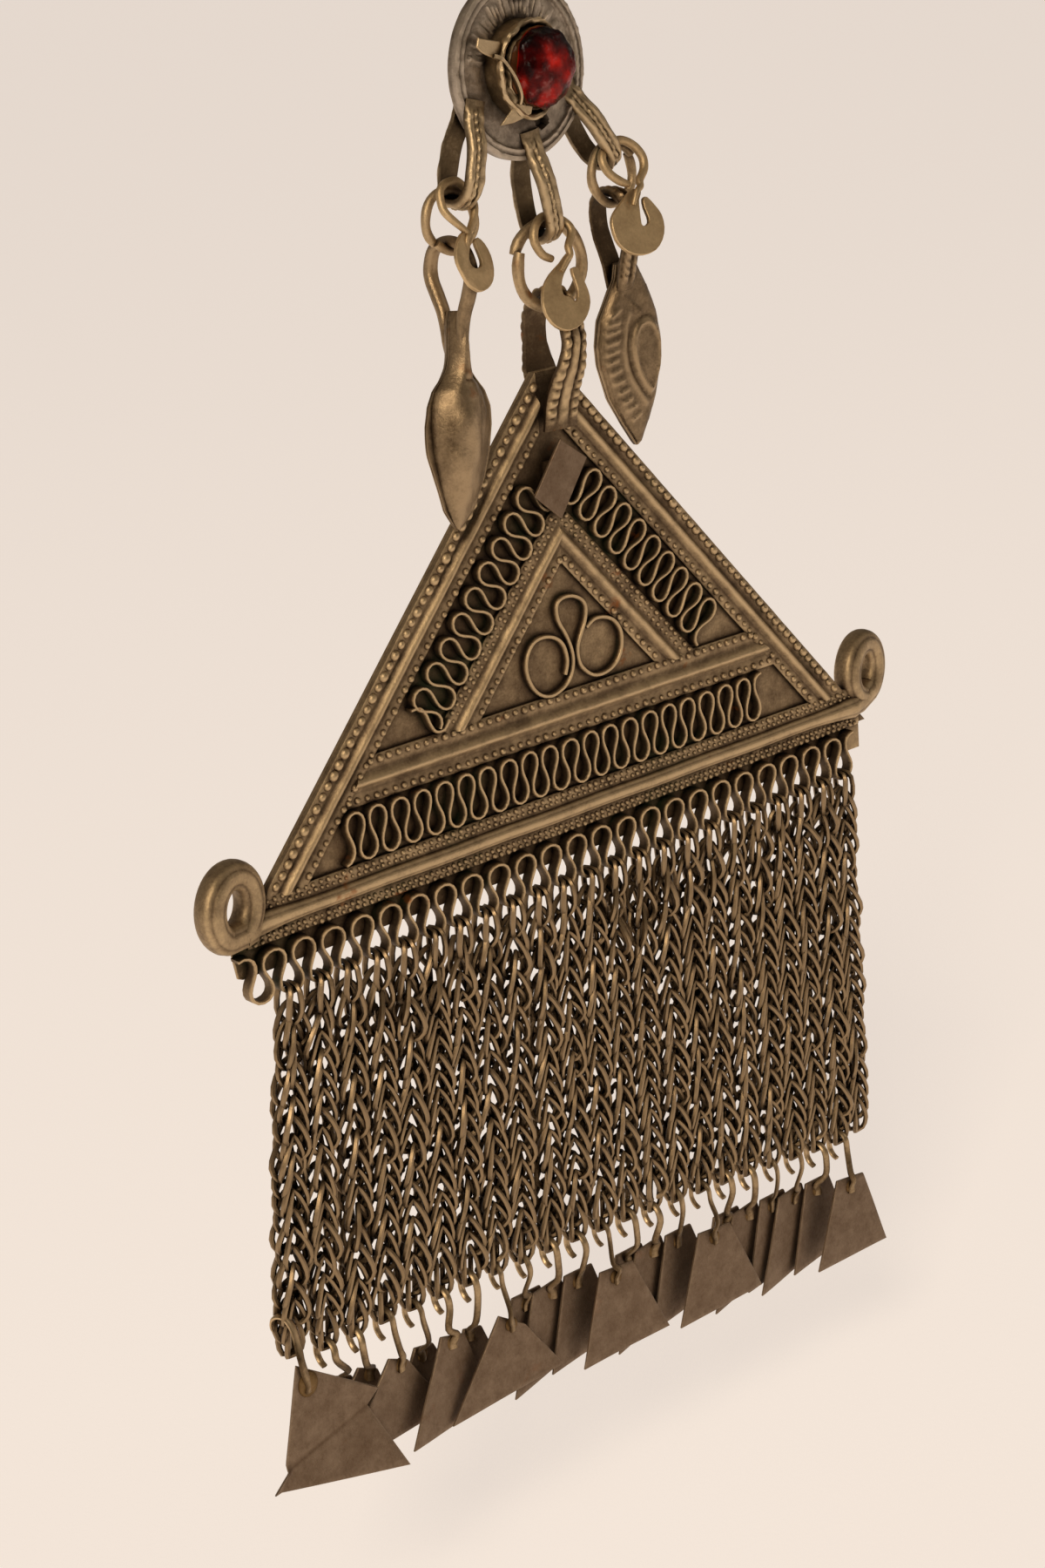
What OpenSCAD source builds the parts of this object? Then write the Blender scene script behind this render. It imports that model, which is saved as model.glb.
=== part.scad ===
/* [Amulet plate] */
// Width of the triangle on the rod's centre line
plate_w = 105.6; // [100:0.2:112]
// Slope of the triangle's two upper sides, in degrees
side_angle = 48.5; // [46:0.5:50]
// Thickness of the plate's sheet
sheet_t = 0.8; // [0.6:0.1:1.2]
// Width of the strip along the two upper sides
side_strip_w = 5.2; // [4.6:0.1:5.4]
// How far a strip stands in front of the sheet
strip_t = 0.6; // [0.4:0.1:0.8]
// Radius of the round ridge along each strip
ridge_r = 1.0; // [0.8:0.1:1.2]
// Radius of the rod along the bottom edge
rod_r = 1.5; // [1.3:0.1:1.7]
// Distance between the centres of the rod's two end curls
curl_span = 109.8; // [106:0.2:114]

/* [Filigree] */
// Thickness of the flat ribbon that stands on edge
ribbon_t = 0.4; // [0.3:0.05:0.5]
// How far the ribbon stands in front of the sheet
ribbon_h = 1.5; // [1.2:0.1:1.8]
// Distance between two lobes of the ribbon in the bottom band
band_pitch = 3.5; // [3.4:0.05:3.6]
// Distance between two lobes of the ribbon under the rod
hanger_pitch = 4.41; // [4.3:0.01:4.5]

/* [Fringe] */
// Number of chains
chain_count = 23; // [21:1:23]
// Width of a chain
chain_w = 3.4; // [3:0.1:3.6]
// Thickness of a drop's sheet
drop_t = 0.45; // [0.3:0.05:0.5]
// Number of flat drops
drop_count = 22; // [20:1:22]

/* [Medallion] */
// Diameter of the disc
disc_d = 21.4; // [20:0.2:23]
// Thickness of the disc
disc_t = 1.5; // [1.2:0.1:1.8]
// Height of the disc's centre above the rod
disc_z = 93.6; // [92:0.2:95]
// Outer radius of the cup that holds the stone
cup_r = 5.6; // [5.2:0.1:5.8]
// Radius of the stone
stone_r = 4.7; // [4.4:0.1:4.8]

/* [Neck chain] */
// Width of the neck chain
neck_chain_w = 3.4; // [3:0.1:4]
// Length of the clasp's barrel
clasp_l = 12; // [10:0.5:14]

/* [Hidden] */
$fn = 48;

silver = [0.52, 0.43, 0.31];
dark_silver = [0.42, 0.37, 0.31];
bright_brass = [0.62, 0.50, 0.32];
red = [0.55, 0.05, 0.05];

// The middle of the rod, seen from the nape of the neck, which is the origin
rod_at = [0, -120, -306];
gap = 0.3;

// Heights and widths on the plate, from the rod's centre line
slope = tan(side_angle);
apex_z = plate_w/2*slope;
rod_top_z = 2.9;
rod_bottom_z = -2.8;
bar_bottom_z = 10.3;
bar_top_z = 15.9;
bar_ridge_z = 13;
side_ridge_d = 2.7;
inner_strip_d0 = 12.9;
inner_strip_d1 = 17.8;
inner_ridge_d = 15.4;
curl_r = 4;
curl_tube_r = 1.85;
curl_y = -0.35;

// The row of lobes that carries the chains
hanger_top_z = -3.4;
hanger_h = 6.3;
hanger_first_x = -54.6;
hanger_count = 24;
hanger_back_top_z = -2.3;
hanger_back_z = -6.6;
hanger_back_y = 0.15;
hanger_back_t = 0.5;

// Chains hang a little out of plumb, more so on the left, because the wide drops crowd each other
chain_y = -0.7;
chain_top_z = hanger_top_z - hanger_h - ribbon_t/2 - gap;
fan_middle = -2.9;
fan_half = 3.3;
hook_r = 1.5;
hook_w = 1.2;
hook_t = 0.4;
shingle_yaw = 12;

// Rings: radius of the centre line, and of the wire
centre_ring = [5.3, 0.62];
jump_ring = [3.6, 0.5];
top_ring = [4.2, 0.65];
centre_ring_at = [2.3, 0.4, 69.8];
jump_ring_left_at = [-12.6, 0.4, 77.3];
jump_ring_right_at = [13.7, 0.4, 79.4];
top_ring_at = [-1.1, 0, 114.8];

function chain_name(n) = str("chain_", n < 10 ? "0" : "", n);
function drop_name(n) = str("drop_", n < 10 ? "0" : "", n);

// Points of a smooth curve through the points p, with n steps between two of them
function curve_point(p, i, t) =
    let (a = p[max(i - 1, 0)], b = p[i], c = p[i + 1], d = p[min(i + 2, len(p) - 1)])
    0.5*(2*b + (c - a)*t + (2*a - 5*b + 4*c - d)*t*t + (3*b - a - 3*c + d)*t*t*t);
function smooth(p, n) =
    concat([for (i = [0:len(p) - 2], j = [0:n - 1]) curve_point(p, i, j/n)], [p[len(p) - 1]]);

// Outline of a band of width w along the flat curve p
function along(p, i) =
    let (d = p[min(i + 1, len(p) - 1)] - p[max(i - 1, 0)]) d/norm(d);
function beside(p, i, w) = let (u = along(p, i)) p[i] + w/2*[-u[1], u[0]];
function band(p, w) = concat(
    [for (i = [0:len(p) - 1]) beside(p, i, w)],
    [for (i = [len(p) - 1:-1:0]) beside(p, i, -w)]);

// One full wave of a ribbon that turns back on itself, scaled to a length and a height of 1
lobe_steps = 12;
lobe_turn = 114;
function lobe_step(i) = let (h = lobe_turn*sin(360*(i + 0.5)/lobe_steps)) [cos(h), sin(h)];
raw_wave = [for (i = 0, p = [0, 0]; i <= lobe_steps; p = p + lobe_step(i), i = i + 1) p];
wave_scale = [1/raw_wave[lobe_steps][0], 1/raw_wave[lobe_steps/2][1]];
function wave(count, pitch, h, half_waves = 0) =
    [for (k = [0:count*lobe_steps + half_waves*lobe_steps/2])
        let (p = raw_wave[k % lobe_steps])
        [pitch*(p[0]*wave_scale[0] + floor(k/lobe_steps)), h*p[1]*wave_scale[1]]];

// Rings of eight points swept along a route in space
tube_sides = 8;
function tube_frame(p, i) =
    let (d = p[min(i + 1, len(p) - 1)] - p[max(i - 1, 0)], u = d/norm(d),
         s = cross(u, [0, 1, 0]), a = s/norm(s))
    [a, cross(u, a)];
module tube(p, r) {
    rings = [for (i = [0:len(p) - 1], k = [0:tube_sides - 1])
        let (f = tube_frame(p, i), v = 360*(k + 0.5)/tube_sides)
        p[i] + r*(cos(v)*f[0] + sin(v)*f[1])];
    last = (len(p) - 1)*tube_sides;
    walls = [for (i = [0:len(p) - 2], k = [0:tube_sides - 1])
        let (a = i*tube_sides, m = (k + 1) % tube_sides)
        [a + k, a + m, a + tube_sides + m, a + tube_sides + k]];
    polyhedron(rings, concat(walls,
        [[for (k = [tube_sides - 1:-1:0]) k]], [[for (k = [0:tube_sides - 1]) last + k]]));
}

// A flat shape drawn in X and Z becomes a sheet from y0 back to y1
module slab(y0, y1) {
    translate([0, y1, 0]) rotate([90, 0, 0]) linear_extrude(y1 - y0) children();
}
// A profile drawn in Y and Z becomes a strap of width w across X
module across(w) {
    translate([-w/2, 0, 0]) rotate([90, 0, 90]) linear_extrude(w) children();
}
module ring(size) {
    rotate([90, 0, 0]) rotate_extrude() translate([size[0], 0]) circle(size[1], $fn = 24);
}
module on_pendant() { translate(rod_at) children(); }

// The triangle of the plate, drawn in by d from its two upper sides and cut off below z
function inset_triangle(d, z) =
    let (top = apex_z - d/cos(side_angle), half = (top - z)/slope)
    [[-half, z], [half, z], [0, top]];
module chevron(d0, d1, z) {
    difference() {
        polygon(inset_triangle(d0, z));
        polygon(inset_triangle(d1, z - 1));
    }
}
module side_ridge(d, z) {
    top = apex_z - d/cos(side_angle);
    l = (top - z)/sin(side_angle);
    for (side = [-1, 1]) translate([0, -strip_t + 0.2, top])
        rotate([0, side*(90 + side_angle), 0]) cylinder(h = l, r = ridge_r);
}
module bar_ridge() {
    half = (apex_z - bar_ridge_z)/slope - side_strip_w/sin(side_angle);
    translate([-half, -strip_t + 0.2, bar_ridge_z]) rotate([0, 90, 0]) cylinder(h = 2*half, r = ridge_r);
}
module rod() {
    translate([-curl_span/2, 0, 0]) rotate([0, 90, 0]) cylinder(h = curl_span, r = rod_r);
    for (side = [-1, 1]) translate([side*curl_span/2, curl_y, curl_r]) ring([curl_r, curl_tube_r]);
}

// Serpentine ribbons: along the bottom band, the two slanted bands, and under the rod
module bottom_ribbon() {
    translate([-36.35 - band_pitch/2, 3.5]) polygon(band(wave(20, band_pitch, 6.3, 1), ribbon_t));
}
module side_ribbon() {
    s0 = 15;
    start = [-cos(side_angle)*s0 + sin(side_angle)*12, apex_z - sin(side_angle)*s0 - cos(side_angle)*12];
    translate(start) rotate(180 + side_angle) mirror([0, 1]) polygon(band(wave(9, 3.54, 6.1), ribbon_t));
}
module hanger_ribbon() {
    translate([hanger_first_x - hanger_pitch/2, hanger_top_z - hanger_h])
        polygon(band(wave(hanger_count, hanger_pitch, hanger_h, 1), ribbon_t));
}
module trefoil() {
    for (c = [[-3.7, 20.1, 3.7], [0.7, 25.8, 2.5], [5.3, 20.4, 3.9]])
        translate([c[0], -0.1, c[1]]) ring([c[2] - 0.3, 0.4]);
}
module patch() {
    polygon([[0.6, 48.8], [5.3, 45], [2.1, 40.4], [-0.4, 38.4], [-4.3, 43]]);
}

// The strap at the apex: cut end in front, round the ring, and down the back
apex_strap_w = 4.2;
apex_strap_path = smooth([[-1.6, 50], [-1.8, 54], [-3.2, 58], [-3.4, 61.5], [-2.1, 64.9], [0.4, 66.6],
    [2.9, 64.9], [4, 61.5], [3, 57.5], [1, 54], [0.7, 50.5]], 3);

module amulet_plate() color(silver) on_pendant() {
    slab(0, sheet_t) polygon(inset_triangle(0, rod_bottom_z));
    slab(-strip_t, 0.1) {
        chevron(0, side_strip_w, rod_top_z - 0.5);
        chevron(inner_strip_d0, inner_strip_d1, bar_top_z - 0.5);
        intersection() {
            translate([-60, bar_bottom_z]) square([120, bar_top_z - bar_bottom_z]);
            polygon(inset_triangle(side_strip_w - 0.5, 0));
        }
        translate([-curl_span/2 + 3, rod_bottom_z])
            square([curl_span - 6, rod_top_z - rod_bottom_z]);
    }
    side_ridge(side_ridge_d, 1);
    side_ridge(inner_ridge_d, bar_ridge_z);
    bar_ridge();
    rod();
    slab(-ribbon_h, 0.2) { bottom_ribbon(); side_ribbon(); mirror([1, 0]) side_ribbon(); }
    trefoil();
    slab(-1.9, -1.2) patch();
    slab(-1.3, 0.1) translate([-1.5, 42]) square([3, 3]);
    slab(hanger_back_y, hanger_back_y + hanger_back_t) translate([-56.6, hanger_back_z])
        square([110.6, hanger_back_top_z - hanger_back_z]);
    slab(-ribbon_h, hanger_back_y + 0.1) hanger_ribbon();
    translate([2.2, 0, 0]) across(apex_strap_w) polygon(band(apex_strap_path, 0.8));
}

// A strap that grips the disc's rim with one leg in front and one behind, round a ring
module bail(x, z, lean, length, w) {
    path = smooth([[-1, length], [-1.2, length*0.8], [-2.3, length*0.55], [-2.5, 2.4], [-1.6, 0.7],
        [0, 0.2], [1.6, 0.7], [2.5, 2.4], [2.3, length*0.55], [1.2, length*0.8], [1, length]], 3);
    translate([x, 0, z]) rotate([0, lean, 0]) across(w) polygon(band(path, 0.7));
}

disc_x = -1.1;
module medallion() color(dark_silver) on_pendant() {
    translate([disc_x, 0, disc_z]) rotate([90, 0, 0]) {
        translate([0, 0, -disc_t/2]) cylinder(h = disc_t, r = disc_d/2, $fn = 96);
        translate([0, 0, disc_t/2 - 0.3]) difference() {
            cylinder(h = 0.7, r = disc_d/2, $fn = 96);
            translate([0, 0, -1]) cylinder(h = 3, r = disc_d/2 - 1.2, $fn = 96);
        }
        translate([0, 0, disc_t/2 - 0.1]) difference() {
            cylinder(h = 2.9, r = cup_r, $fn = 96);
            translate([0, 0, 0.6]) cylinder(h = 3, r = stone_r + gap, $fn = 96);
        }
    }
    bail(-12.2, 79, 14.5, 12.2, 2.9);
    bail(1.7, 73.1, -9, 13.3, 3);
    bail(13.4, 80.6, -33, 12.4, 2.9);
    translate([disc_x, 0, 112.4]) mirror([0, 0, 1]) bail(0, 0, 0, 10.8, 3);
}

// The stone is a rough dome, broken off flat in front, with its foot in the cup
module stone() color(red) on_pendant() {
    translate([disc_x, -disc_t/2 - 0.5 - gap, disc_z]) rotate([90, 0, 0]) {
        cylinder(h = 2.6, r = stone_r);
        translate([0, 0, 2.6]) difference() {
            sphere(r = stone_r);
            translate([0, 0, 2.4]) cylinder(h = 6, r = 6);
            translate([0, 0, -6]) cylinder(h = 6, r = 6);
        }
    }
}

module top_ring() color(silver) on_pendant() translate(top_ring_at) ring(top_ring);
module centre_ring() color(silver) on_pendant() translate(centre_ring_at) ring(centre_ring);
module jump_ring_left() color(silver) on_pendant() translate(jump_ring_left_at) ring(jump_ring);
module jump_ring_right() color(silver) on_pendant() translate(jump_ring_right_at) ring(jump_ring);

// An S-hook: a wire loop above, beaten out below into a flat crescent with a slot
hook_wire = smooth([[0.3, 5], [-1.8, 6.3], [-2.9, 8.4], [-2.4, 10.2], [-0.9, 11], [1, 10.9],
    [2.7, 9.7], [3.5, 7.6], [2.8, 5.4], [1, 3.6], [-0.6, 2.4]], 3);
module s_hook() {
    slab(-0.4, 0.4) polygon(band(hook_wire, 0.8));
    slab(-0.3, 0.3) difference() {
        circle(3.85);
        translate([0.5, 1.4]) rotate(-20) square([1.5, 5], center = true);
    }
}
module s_hook_left() color(bright_brass) on_pendant()
    translate([-12.3, -4.3, 72.7]) rotate([-18, 0, 16]) s_hook();
module s_hook_centre() color(bright_brass) on_pendant()
    translate([0.4, -4.6, 65.9]) rotate([-19, 5, 0]) s_hook();
module s_hook_right() color(bright_brass) on_pendant()
    translate([12.6, -4.2, 73.3]) rotate([-18, 0, 0]) s_hook();

// A leaf drop hangs from its ring by a loop of strap with one leg in front and one behind
function leaf_loop(top, foot) = smooth([[-0.9, foot], [-1.6, foot + (top - foot)*0.25],
    [-2.9, foot + (top - foot)*0.6], [-2.2, top - 1.4], [0.4, top - 0.2], [3, top - 1.4],
    [3.2, foot + (top - foot)*0.6], [1.6, foot + (top - foot)*0.25], [0.9, foot]], 3);
leaf_left_half = [[0, 0], [2.5, 2.4], [4.1, 6], [4.6, 11], [4.3, 15], [2.6, 18.4], [1.9, 21], [2.2, 23]];
leaf_right_half = [[0, 0], [2.6, 4], [5.9, 14], [3.4, 19.6], [1.4, 23.4]];
function leaf_outline(half) = concat(half, [for (i = [len(half) - 1:-1:1]) [-half[i][0], half[i][1]]]);
module leaf(half, depth, top, foot) {
    hull() {
        slab(-0.3, 0.3) polygon(leaf_outline(half));
        slab(-depth, depth) translate([0, half[3][1]/2 + 0.6]) scale([0.5, 0.5]) polygon(leaf_outline(half));
    }
    across(1.8) polygon(band(leaf_loop(top, foot), 0.7));
}
module leaf_left() color(silver) on_pendant()
    translate([-18.1, -3, 41.3]) rotate([-5.5, 8.5, 0]) leaf(leaf_left_half, 2.2, 34.5, 21);
module leaf_right() color(silver) on_pendant()
    translate([14.2, 0.3, 45.1]) rotate([0, -1, 0]) leaf(leaf_right_half, 1.6, 32.2, 20);

// Chains of the fringe, numbered from the left: where each one starts and ends
function chain_x(n) = hanger_first_x + (n + 0.5)*hanger_pitch;
function chain_end(n) =
    let (x = chain_x(n), t = (n - 1)/(chain_count - 1))
    [x + fan_middle + fan_half*x/50, chain_y, -57.5 - 2*t - 6*t*t];
module chain(n) color(silver) on_pendant()
    tube([[chain_x(n), chain_y, chain_top_z], chain_end(n)], chain_w/2);

// Flat drops: one hangs on each chain but the last. Most stand in line like shingles, turned by
// the same angle and moved along their own sheet. A few hang in front of the rest.
// Columns: chain, move along the sheet, turn, move forward, lean
front_drops = [[1, 0, 0, 3.4, 0], [8, 0.4, 0, 2.6, 0], [12, 1.5, 0, 2.6, 0], [16, 1, 0, 2.6, 0],
    [22, 1.5, 4, 2.4, -4]];
function front_row(n) = [for (r = front_drops) if (r[0] == n) r];
function drop_place(n) = len(front_row(n)) > 0
    ? front_row(n)[0]
    : [n, n % 2 == 0 ? -1.8 : 2.2, shingle_yaw, 0, n % 2 == 0 ? 3 : -3];
drop_h = 15.5;
drop_top_w = 4.6;
drop_bottom_w = 16;
// The first drop is bent across its sheet, so it keeps the outline that the photograph shows
bent_drop = [[-1.6, 4], [10.3, -4.4], [8.3, -6], [13.3, -16.8], [-7.3, -11.6], [-4.9, -9.6]];
module drop(n) color(dark_silver) on_pendant() {
    row = drop_place(n);
    end = chain_end(n);
    top_z = -gap - 2*hook_r;
    shift = row[3];
    translate(end) {
        translate([0, 0, -gap - hook_r]) across(hook_w) difference() {
            circle(hook_r);
            circle(hook_r - hook_t);
        }
        translate([0, -shift/2, top_z]) translate([-hook_w/2, -shift/2 - 0.4, -0.6])
            cube([hook_w, shift + 0.8, 0.7]);
        translate([0, -shift, top_z]) rotate([0, 0, row[2]]) slab(-drop_t/2, drop_t/2)
            translate([row[1], 0]) rotate(row[4]) polygon(n == 1 ? bent_drop
                : [[-drop_top_w/2 - row[1]*0.6, 0], [drop_top_w/2 - row[1]*0.6, 0],
                    [drop_bottom_w/2, -drop_h], [-drop_bottom_w/2, -drop_h]]);
    }
}

// The neck chain runs from the top ring round the sides of the neck to the clasp at the nape
neck_half = [[3.6, -120, -187.5], [15, -119, -175], [31, -115, -151], [47, -106, -121], [60, -90, -88],
    [67, -66, -56], [65, -40, -30], [51, -17, -12], [29, -3, -2],
    [clasp_l/2 + gap, 0, 0]];
module neck_chain(side) color(silver)
    tube([for (p = smooth(neck_half, 4)) [side*p[0] + disc_x*p[2]/neck_half[0][2], p[1], p[2]]],
        neck_chain_w/2);
module neck_chain_left() neck_chain(-1);
module neck_chain_right() neck_chain(1);
module clasp() color(silver)
    translate([-clasp_l/2, 0, 0]) rotate([0, 90, 0]) cylinder(h = clasp_l, r = 2.3);

medallion();
stone();
top_ring();
neck_chain_left();
neck_chain_right();
clasp();
jump_ring_left();
centre_ring();
jump_ring_right();
s_hook_left();
s_hook_centre();
s_hook_right();
leaf_left();
leaf_right();
amulet_plate();
for (n = [1:chain_count]) chain(n);
for (n = [1:drop_count]) drop(n);
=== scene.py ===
"""Looks for the tribal necklace. Shapes are in millimetres in the pendant's own frame (X right, Z up
from the rod, front at -Y) until Shape.piece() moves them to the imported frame, in metres."""
import math
import random

import bpy
import numpy as np
from mathutils import Matrix, Vector, noise


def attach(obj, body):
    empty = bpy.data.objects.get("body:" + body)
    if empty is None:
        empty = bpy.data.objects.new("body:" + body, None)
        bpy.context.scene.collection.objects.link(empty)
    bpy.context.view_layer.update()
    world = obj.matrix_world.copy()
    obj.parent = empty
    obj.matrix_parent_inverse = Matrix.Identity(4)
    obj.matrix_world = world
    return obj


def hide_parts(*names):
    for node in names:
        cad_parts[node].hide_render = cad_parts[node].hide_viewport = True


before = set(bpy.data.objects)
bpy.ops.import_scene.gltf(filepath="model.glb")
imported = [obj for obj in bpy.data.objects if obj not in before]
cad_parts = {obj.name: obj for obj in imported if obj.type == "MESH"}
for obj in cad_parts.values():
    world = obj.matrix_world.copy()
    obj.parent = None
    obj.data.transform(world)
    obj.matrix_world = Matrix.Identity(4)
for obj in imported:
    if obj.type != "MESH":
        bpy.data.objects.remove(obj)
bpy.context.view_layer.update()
ROD_AT = np.array((0.0, -120.0, -306.0))

# ---------------------------------------------------------------- camera
AZIMUTH, ELEVATION, ROLL = (math.radians(a) for a in (39.278, 18.95, -4.574))
CAMERA_AT = np.array((-0.21665, -0.37418, -0.18777))
FOCAL_PX, PHOTO_H = 3120.1, 1800


def add_camera():
    look = np.array((math.sin(AZIMUTH) * math.cos(ELEVATION), math.cos(AZIMUTH) * math.cos(ELEVATION),
                     -math.sin(ELEVATION)))
    level = np.array((math.cos(AZIMUTH), -math.sin(AZIMUTH), 0.0))
    right, _ = spin(level, np.cross(level, look), -ROLL)
    up = np.cross(right, look)
    data = bpy.data.cameras.new("camera")
    data.sensor_fit, data.sensor_height, data.sensor_width = "VERTICAL", 36.0, 24.0
    data.lens = FOCAL_PX / PHOTO_H * data.sensor_height
    data.clip_start, data.clip_end = 0.01, 50.0
    camera = in_scene("camera", data)
    camera.matrix_world = Matrix([(*row, at) for *row, at in zip(right, up, -look, CAMERA_AT)] + [(0, 0, 0, 1)])
    bpy.context.scene.camera = camera


def in_scene(name, data):
    thing = bpy.data.objects.new(name, data)
    bpy.context.scene.collection.objects.link(thing)
    return thing


# ---------------------------------------------------------------- geometry helpers
def unit(v):
    v = np.asarray(v, float)
    return v / np.maximum(np.linalg.norm(v, axis=-1, keepdims=True), 1e-9)


def smooth(points, steps, closed=False):
    """Points of a smooth curve through the given ones, as part.scad draws them."""
    p = np.asarray(points, float)
    n = len(p)
    at = (lambda i: p[i % n]) if closed else (lambda i: p[min(max(i, 0), n - 1)])
    out = []
    for i in range(n if closed else n - 1):
        a, b, c, d = at(i - 1), at(i), at(i + 1), at(i + 2)
        for k in range(steps):
            t = k / steps
            out.append(0.5 * (2 * b + (c - a) * t + (2 * a - 5 * b + 4 * c - d) * t * t
                              + (3 * b - a - 3 * c + d) * t ** 3))
    if not closed:
        out.append(p[-1])
    return np.array(out)


def path_axes(p, closed, across=None):
    """Two axes square to a path: across is a fixed second axis, or None to carry one along."""
    t = unit(np.roll(p, -1, 0) - np.roll(p, 1, 0)) if closed else unit(np.gradient(p, axis=0))
    if across is not None:
        a = unit(np.cross(t, np.asarray(across, float)))
        return a, unit(np.cross(a, t))
    a = [unit(np.cross(t[0], (0.0, 1, 0) if abs(t[0][1]) < 0.8 else (1.0, 0, 0)))]
    carried = lambda way: a[-1] - way * np.dot(a[-1], way)
    for way in t[1:]:
        a.append(unit(carried(way)))
    last, a = carried(t[0]), np.array(a)
    b = np.cross(a, t)
    if closed:
        turn = math.atan2(np.dot(last, b[0]), np.dot(last, a[0]))
        a, b = spin(a, b, (turn * np.arange(len(p)) / len(p))[:, None])
    return a, b


def along(p):
    """A path's length, and a function that gives its point at a distance from its start."""
    step = np.concatenate([[0], np.cumsum(np.linalg.norm(np.diff(p, axis=0), axis=1))])
    return step[-1], lambda d: np.stack([np.interp(d, step, p[:, i]) for i in range(3)], -1)


def spin(x, y, angle):
    """Two coordinates, or two axes, turned by an angle."""
    c, s = np.cos(angle), np.sin(angle)
    return x * c - y * s, x * s + y * c


def around(count):
    """Angles all the way round."""
    return [2 * math.pi * k / count for k in range(count)]


def circle(sides, r=1.0):
    return np.array([(r * math.cos(v), r * math.sin(v)) for v in around(sides)])


def squared(c, power):
    """A circle's coordinate, pushed out so that the circle turns a little square."""
    return math.copysign(abs(c) ** power, c)


def bell(distance, width):
    """1 at no distance, falling to nothing beyond a width or two."""
    return math.exp(-(distance / width) ** 2)


def lumps(x, y, z):
    """A steady random number from -1 to 1 for a place."""
    return noise.noise(Vector((x, y, z)))


def rough(p, scale, seed):
    """lumps() for each point of a path."""
    off = Vector((seed * 7.31, seed * 3.17, seed * 1.73))
    return np.array([noise.noise(Vector(q) * scale + off) for q in p])


def segment_gap(x, z, a, b):
    """Distance from a point to the segment a-b."""
    dx, dz = b[0] - a[0], b[1] - a[1]
    t = max(0.0, min(1.0, ((x - a[0]) * dx + (z - a[1]) * dz) / (dx * dx + dz * dz)))
    return math.hypot(x - a[0] - t * dx, z - a[1] - t * dz)


def runs_backwards(o):
    return np.sum(o[:, 0] * np.roll(o[:, 1], -1) - np.roll(o[:, 0], -1) * o[:, 1]) < 0


def lattice(rows, cols, at):
    """The points and tones of a surface, from at(row, column) = (point, tone)."""
    cells = [[at(row, col) for col in cols] for row in rows]
    return [np.array([[cell[i] for cell in row] for row in cells], float) for i in (0, 1)]


def joined(*surfaces):
    """The points and tones of several lattices, one after the other."""
    return [np.concatenate(parts) for parts in zip(*surfaces)]


def stretched(values, count):
    """A short list of values spread evenly over a count of places."""
    return np.interp(np.linspace(0, 1, count), np.linspace(0, 1, len(values)), values)


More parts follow.
